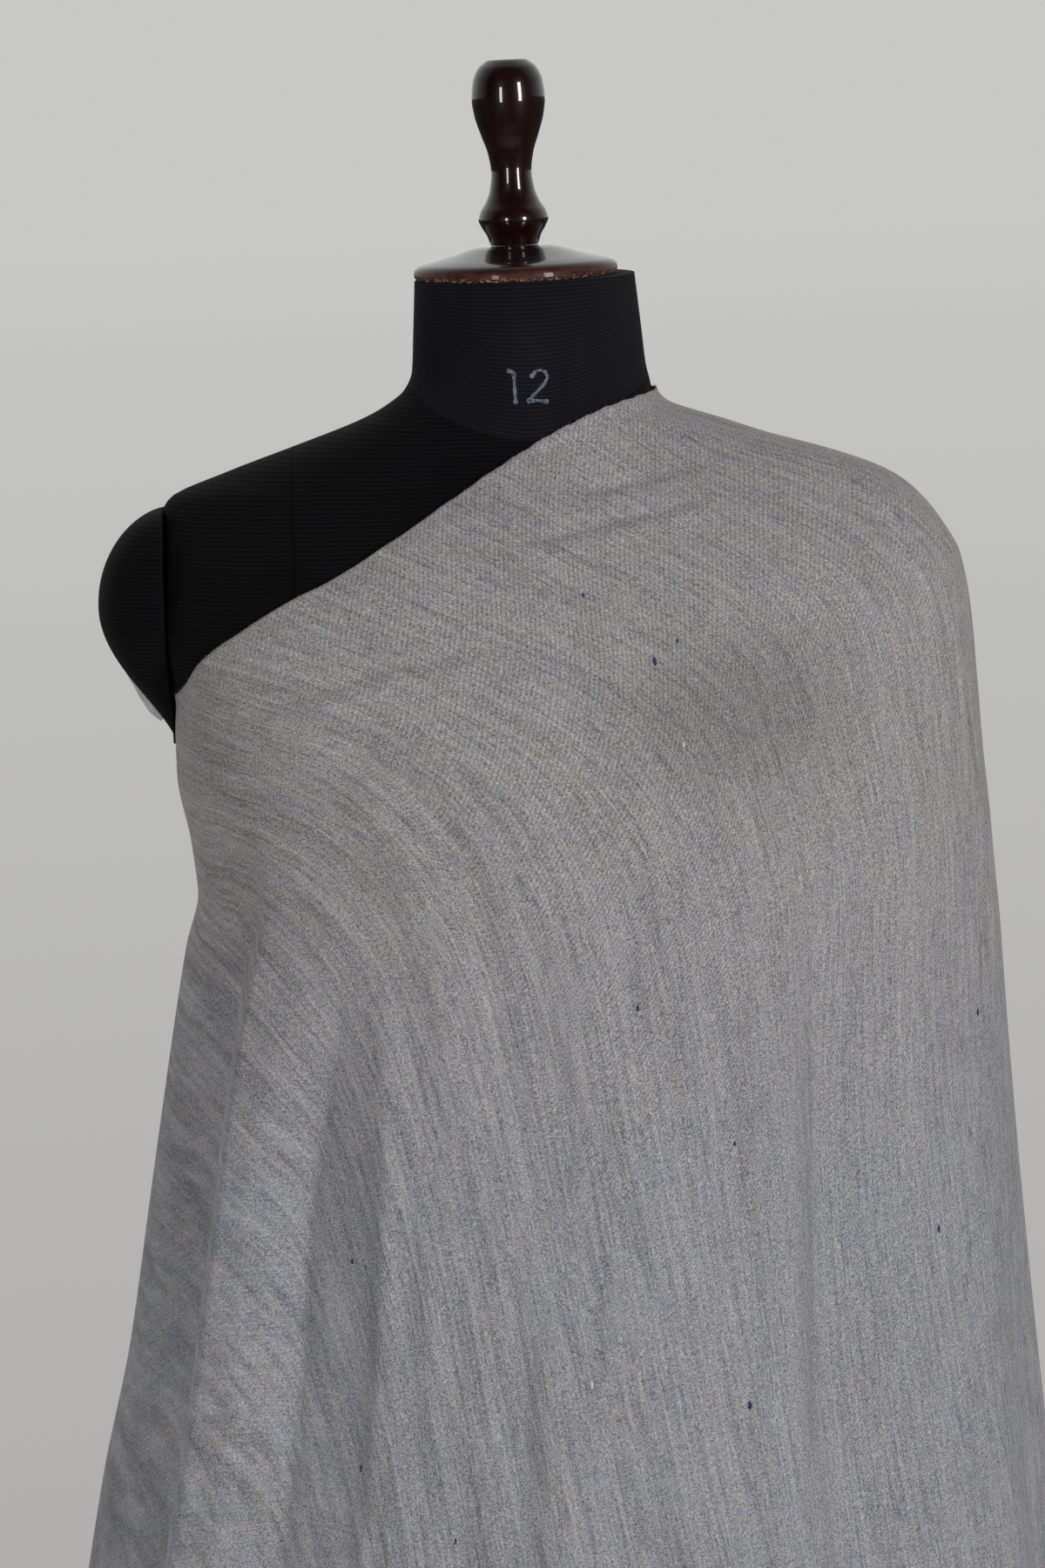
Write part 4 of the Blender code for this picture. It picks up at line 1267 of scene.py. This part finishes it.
def build_neps(name, material, spots, bearing, points, normal):
    """Small flat knots that lie on the cloth, drawn out down it."""
    bm = bmesh.new()
    for degrees, height in spots:
        i = int(np.abs(bearing - radians(degrees)).argmin())
        j = int(np.abs(points[i, :, 2] - height).argmin())
        where, out = Vector(points[i, j]), Vector(normal[i, j])
        down = Vector(points[i, j + 1] - points[i, j]).normalized()
        size = 0.0007 + 0.0006 * rng.random()
        stretch = 1.2 + 1.6 * rng.random()
        turn = Matrix((down, out.cross(down), out)).transposed().to_4x4()
        shape = Matrix.Diagonal((size * stretch, size * 0.8, size * 0.5, 1.0))
        matrix = Matrix.Translation(where) @ turn @ shape
        bmesh.ops.create_icosphere(bm, subdivisions=2, radius=1.0, matrix=matrix)
    neps = new_object(name, bm)
    dress(neps, material, "pashmina")
    return neps


def build_stand(wood, steel):
    dress(spun("base_turned", BASE_PROFILE, 128), wood, "stand_wood", "base")
    flange_top = TORSO_BOTTOM_Z - JOINT_GAP
    flange_foot = flange_top - FLANGE_THICKNESS
    top = flange_foot - 2 * JOINT_GAP
    foot = BASE_HEIGHT + JOINT_GAP
    pole_profile = [
        (0.0, top), (POLE_RADIUS - 0.001, top), (POLE_RADIUS, top - 0.001), (POLE_RADIUS, foot),
        (0.0, foot),
    ]
    dress(spun("pole_tube", pole_profile, 64), steel, "pole_steel", "pole")
    collar_profile = [(radius, foot + height) for radius, height in COLLAR_PROFILE]
    dress(spun("collar_turned", collar_profile, 64), steel, "pole_steel", "collar")
    flange_profile = [
        (0.0, flange_top), (FLANGE_RADIUS, flange_top), (FLANGE_RADIUS, flange_foot + 0.0028),
        (FLANGE_RADIUS - 0.001, flange_foot + 0.0008), (FLANGE_RADIUS - 0.003, flange_foot),
        (0.0, flange_foot),
    ]
    dress(spun("flange_turned", flange_profile, 96), wood, "stand_wood", "flange")


# ------------------------------------------------------------------ the room
def add_light(name, place, aim, size, power):
    data = bpy.data.lights.new(name, "AREA")
    data.shape = "RECTANGLE"
    data.size, data.size_y = size
    data.energy = power
    light = bpy.data.objects.new(name, data)
    light.location = place
    light.rotation_euler = (Vector(aim) - Vector(place)).to_track_quat("-Z", "Y").to_euler()
    bpy.context.scene.collection.objects.link(light)


def build_room():
    """A pale floor that passes into a plain pale surround, and soft boxes in front."""
    high, low = (0.580, 0.580, 0.575, 1), (0.425, 0.420, 0.408, 1)
    world = bpy.data.worlds.new("studio")
    world.use_nodes = True
    bpy.context.scene.world = world
    n = Nodes(world.node_tree)
    world.node_tree.nodes.clear()
    _, y, _ = n.split(n.add("ShaderNodeTexCoord").outputs["Generated"])
    front, back = ((bright, bright, bright, 1) for bright in (WORLD_FRONT, WORLD_BACK))
    around = n.mix(n.spread(y, -0.35, 0.55), front, back)
    seen = n.add("ShaderNodeLightPath").outputs["Is Camera Ray"]
    shown = n.add("ShaderNodeBackground", {"Color": n.mix(seen, around, high)}).outputs[0]
    n.add("ShaderNodeOutputWorld", {0: shown})

    bm = bmesh.new()
    bmesh.ops.create_circle(bm, cap_ends=True, cap_tris=True, segments=96, radius=40.0)
    floor = new_object("floor", bm)
    made, n, shader = new_material("pale_floor", Roughness=0.85)
    place = n.place()
    grit = n.noise(n.scaled(place, 300.0), 2.0)
    n.feed(shader, Base_Color=n.mix(grit, (0.58, 0.58, 0.565, 1), (0.64, 0.64, 0.62, 1)))
    away = n.length(place)
    far = n.math("LOGARITHM", n.math("MAXIMUM", away, 1.0), 10.0)
    glow_colour = n.mix(n.spread(far, 0.35, 1.45), low, high)
    # The glow lights the form, but polished pieces see little of it.
    path = n.add("ShaderNodeLightPath").outputs
    lit = n.math("MULTIPLY_ADD", path["Is Glossy Ray"], -0.9 * FLOOR_GLOW, FLOOR_GLOW)
    strength = n.math("MAXIMUM", path["Is Camera Ray"], lit)
    glow = n.add("ShaderNodeEmission", {"Color": glow_colour, "Strength": strength}).outputs[0]
    ground = {0: n.spread(away, 0.9, 2.2), 1: shader.outputs[0], 2: glow}
    blend = n.add("ShaderNodeMixShader", ground).outputs[0]
    n.feed(n.tree.nodes["Material Output"], Surface=blend)
    floor.data.materials.append(made)

    aim = (0.0, 0.0, 1.25)
    for name, (degrees, away, height, size, power) in LIGHTS.items():
        turn = radians(degrees)
        add_light(name, (away * sin(turn), -away * cos(turn), height), aim, size, power)


# ------------------------------------------------------------------ the whole scene
def main():
    bpy.context.scene.view_settings.view_transform = "Standard"
    add_camera()
    build_room()
    ribs, grain = rib_group(), grain_group()
    jersey = jersey_material(
        "black_jersey",
        ribs,
        dark=(0.0012, 0.0012, 0.0015, 1),
        light=(0.0052, 0.0052, 0.0064, 1),
        seams=[(0.1215, 0.0004)],
    )
    # Painted sheen: the neck band is a lighter, bluer copy of the black knit.
    neck_knit_painted_sheen = jersey_material(
        "black_neck_knit_painted_sheen",
        ribs,
        dark=(0.0030, 0.0029, 0.0042, 1),
        light=(0.0120, 0.0115, 0.0160, 1),
        dips=0.026,
    )
    finial_wood = wood_material(
        "mahogany_gloss",
        grain,
        dark=(0.0050, 0.0014, 0.0016, 1),
        light=(0.0200, 0.0042, 0.0042, 1),
        roughness=0.30,
        coat=1.0,
    )
    cap_wood = wood_material(
        "mahogany_worn_rim",
        grain,
        dark=(0.0060, 0.0020, 0.0018, 1),
        light=(0.0240, 0.0060, 0.0050, 1),
        roughness=0.30,
        coat=1.0,
        worn_rim=True,
    )
    stand_wood = wood_material(
        "stand_wood_satin",
        grain,
        dark=(0.014, 0.005, 0.004, 1),
        light=(0.045, 0.015, 0.011, 1),
        roughness=0.42,
        coat=0.5,
    )
    worn_paint = speckled_material(
        "worn_paint", (0.030, 0.036, 0.050, 1), (0.125, 0.155, 0.190, 1), 700.0, 0.38, 0.55
    )
    pale_board = speckled_material(
        "pale_board", (0.50, 0.50, 0.48, 1), (0.62, 0.62, 0.60, 1), 120.0, 0.4, 0.6
    )
    loose_fibre = speckled_material(
        "loose_fibre", (0.17, 0.20, 0.27, 1), (0.36, 0.33, 0.30, 1), 600.0, 0.42, 0.58
    )
    dark_fibre = speckled_material(
        "dark_fibre", (0.010, 0.022, 0.070, 1), (0.030, 0.055, 0.130, 1), 900.0, 0.4, 0.6
    )
    pale_fibre = speckled_material(
        "pale_fibre", (0.42, 0.42, 0.42, 1), (0.60, 0.59, 0.57, 1), 900.0, 0.4, 0.6
    )

    build_form(jersey, neck_knit_painted_sheen)
    bare_cap = (-1, 1.3700, 1.3200, 0.0335, 0.0520)
    covered_cap = (1, 1.3550, 1.3050, 0.0240, 0.0400)
    build_arm_cap("arm_cap_jersey_bare", "arm_cap_bare", bare_cap, jersey)
    build_arm_cap("arm_cap_jersey_covered", "arm_cap_covered", covered_cap, jersey)
    build_crown(finial_wood, cap_wood)
    build_number(worn_paint)
    build_plate_edge(pale_board)
    build_stand(stand_wood, steel_material("pole_steel_satin"))
    shawl, bearing, points, normal = build_shawl(pashmina_material(thread_group()))
    loose = [
        build_fuzz(loose_fibre, points, normal),
        build_neps("dark_neps", dark_fibre, DARK_NEPS, bearing, points, normal),
        build_neps("pale_neps", pale_fibre, PALE_NEPS, bearing, points, normal),
    ]


main()
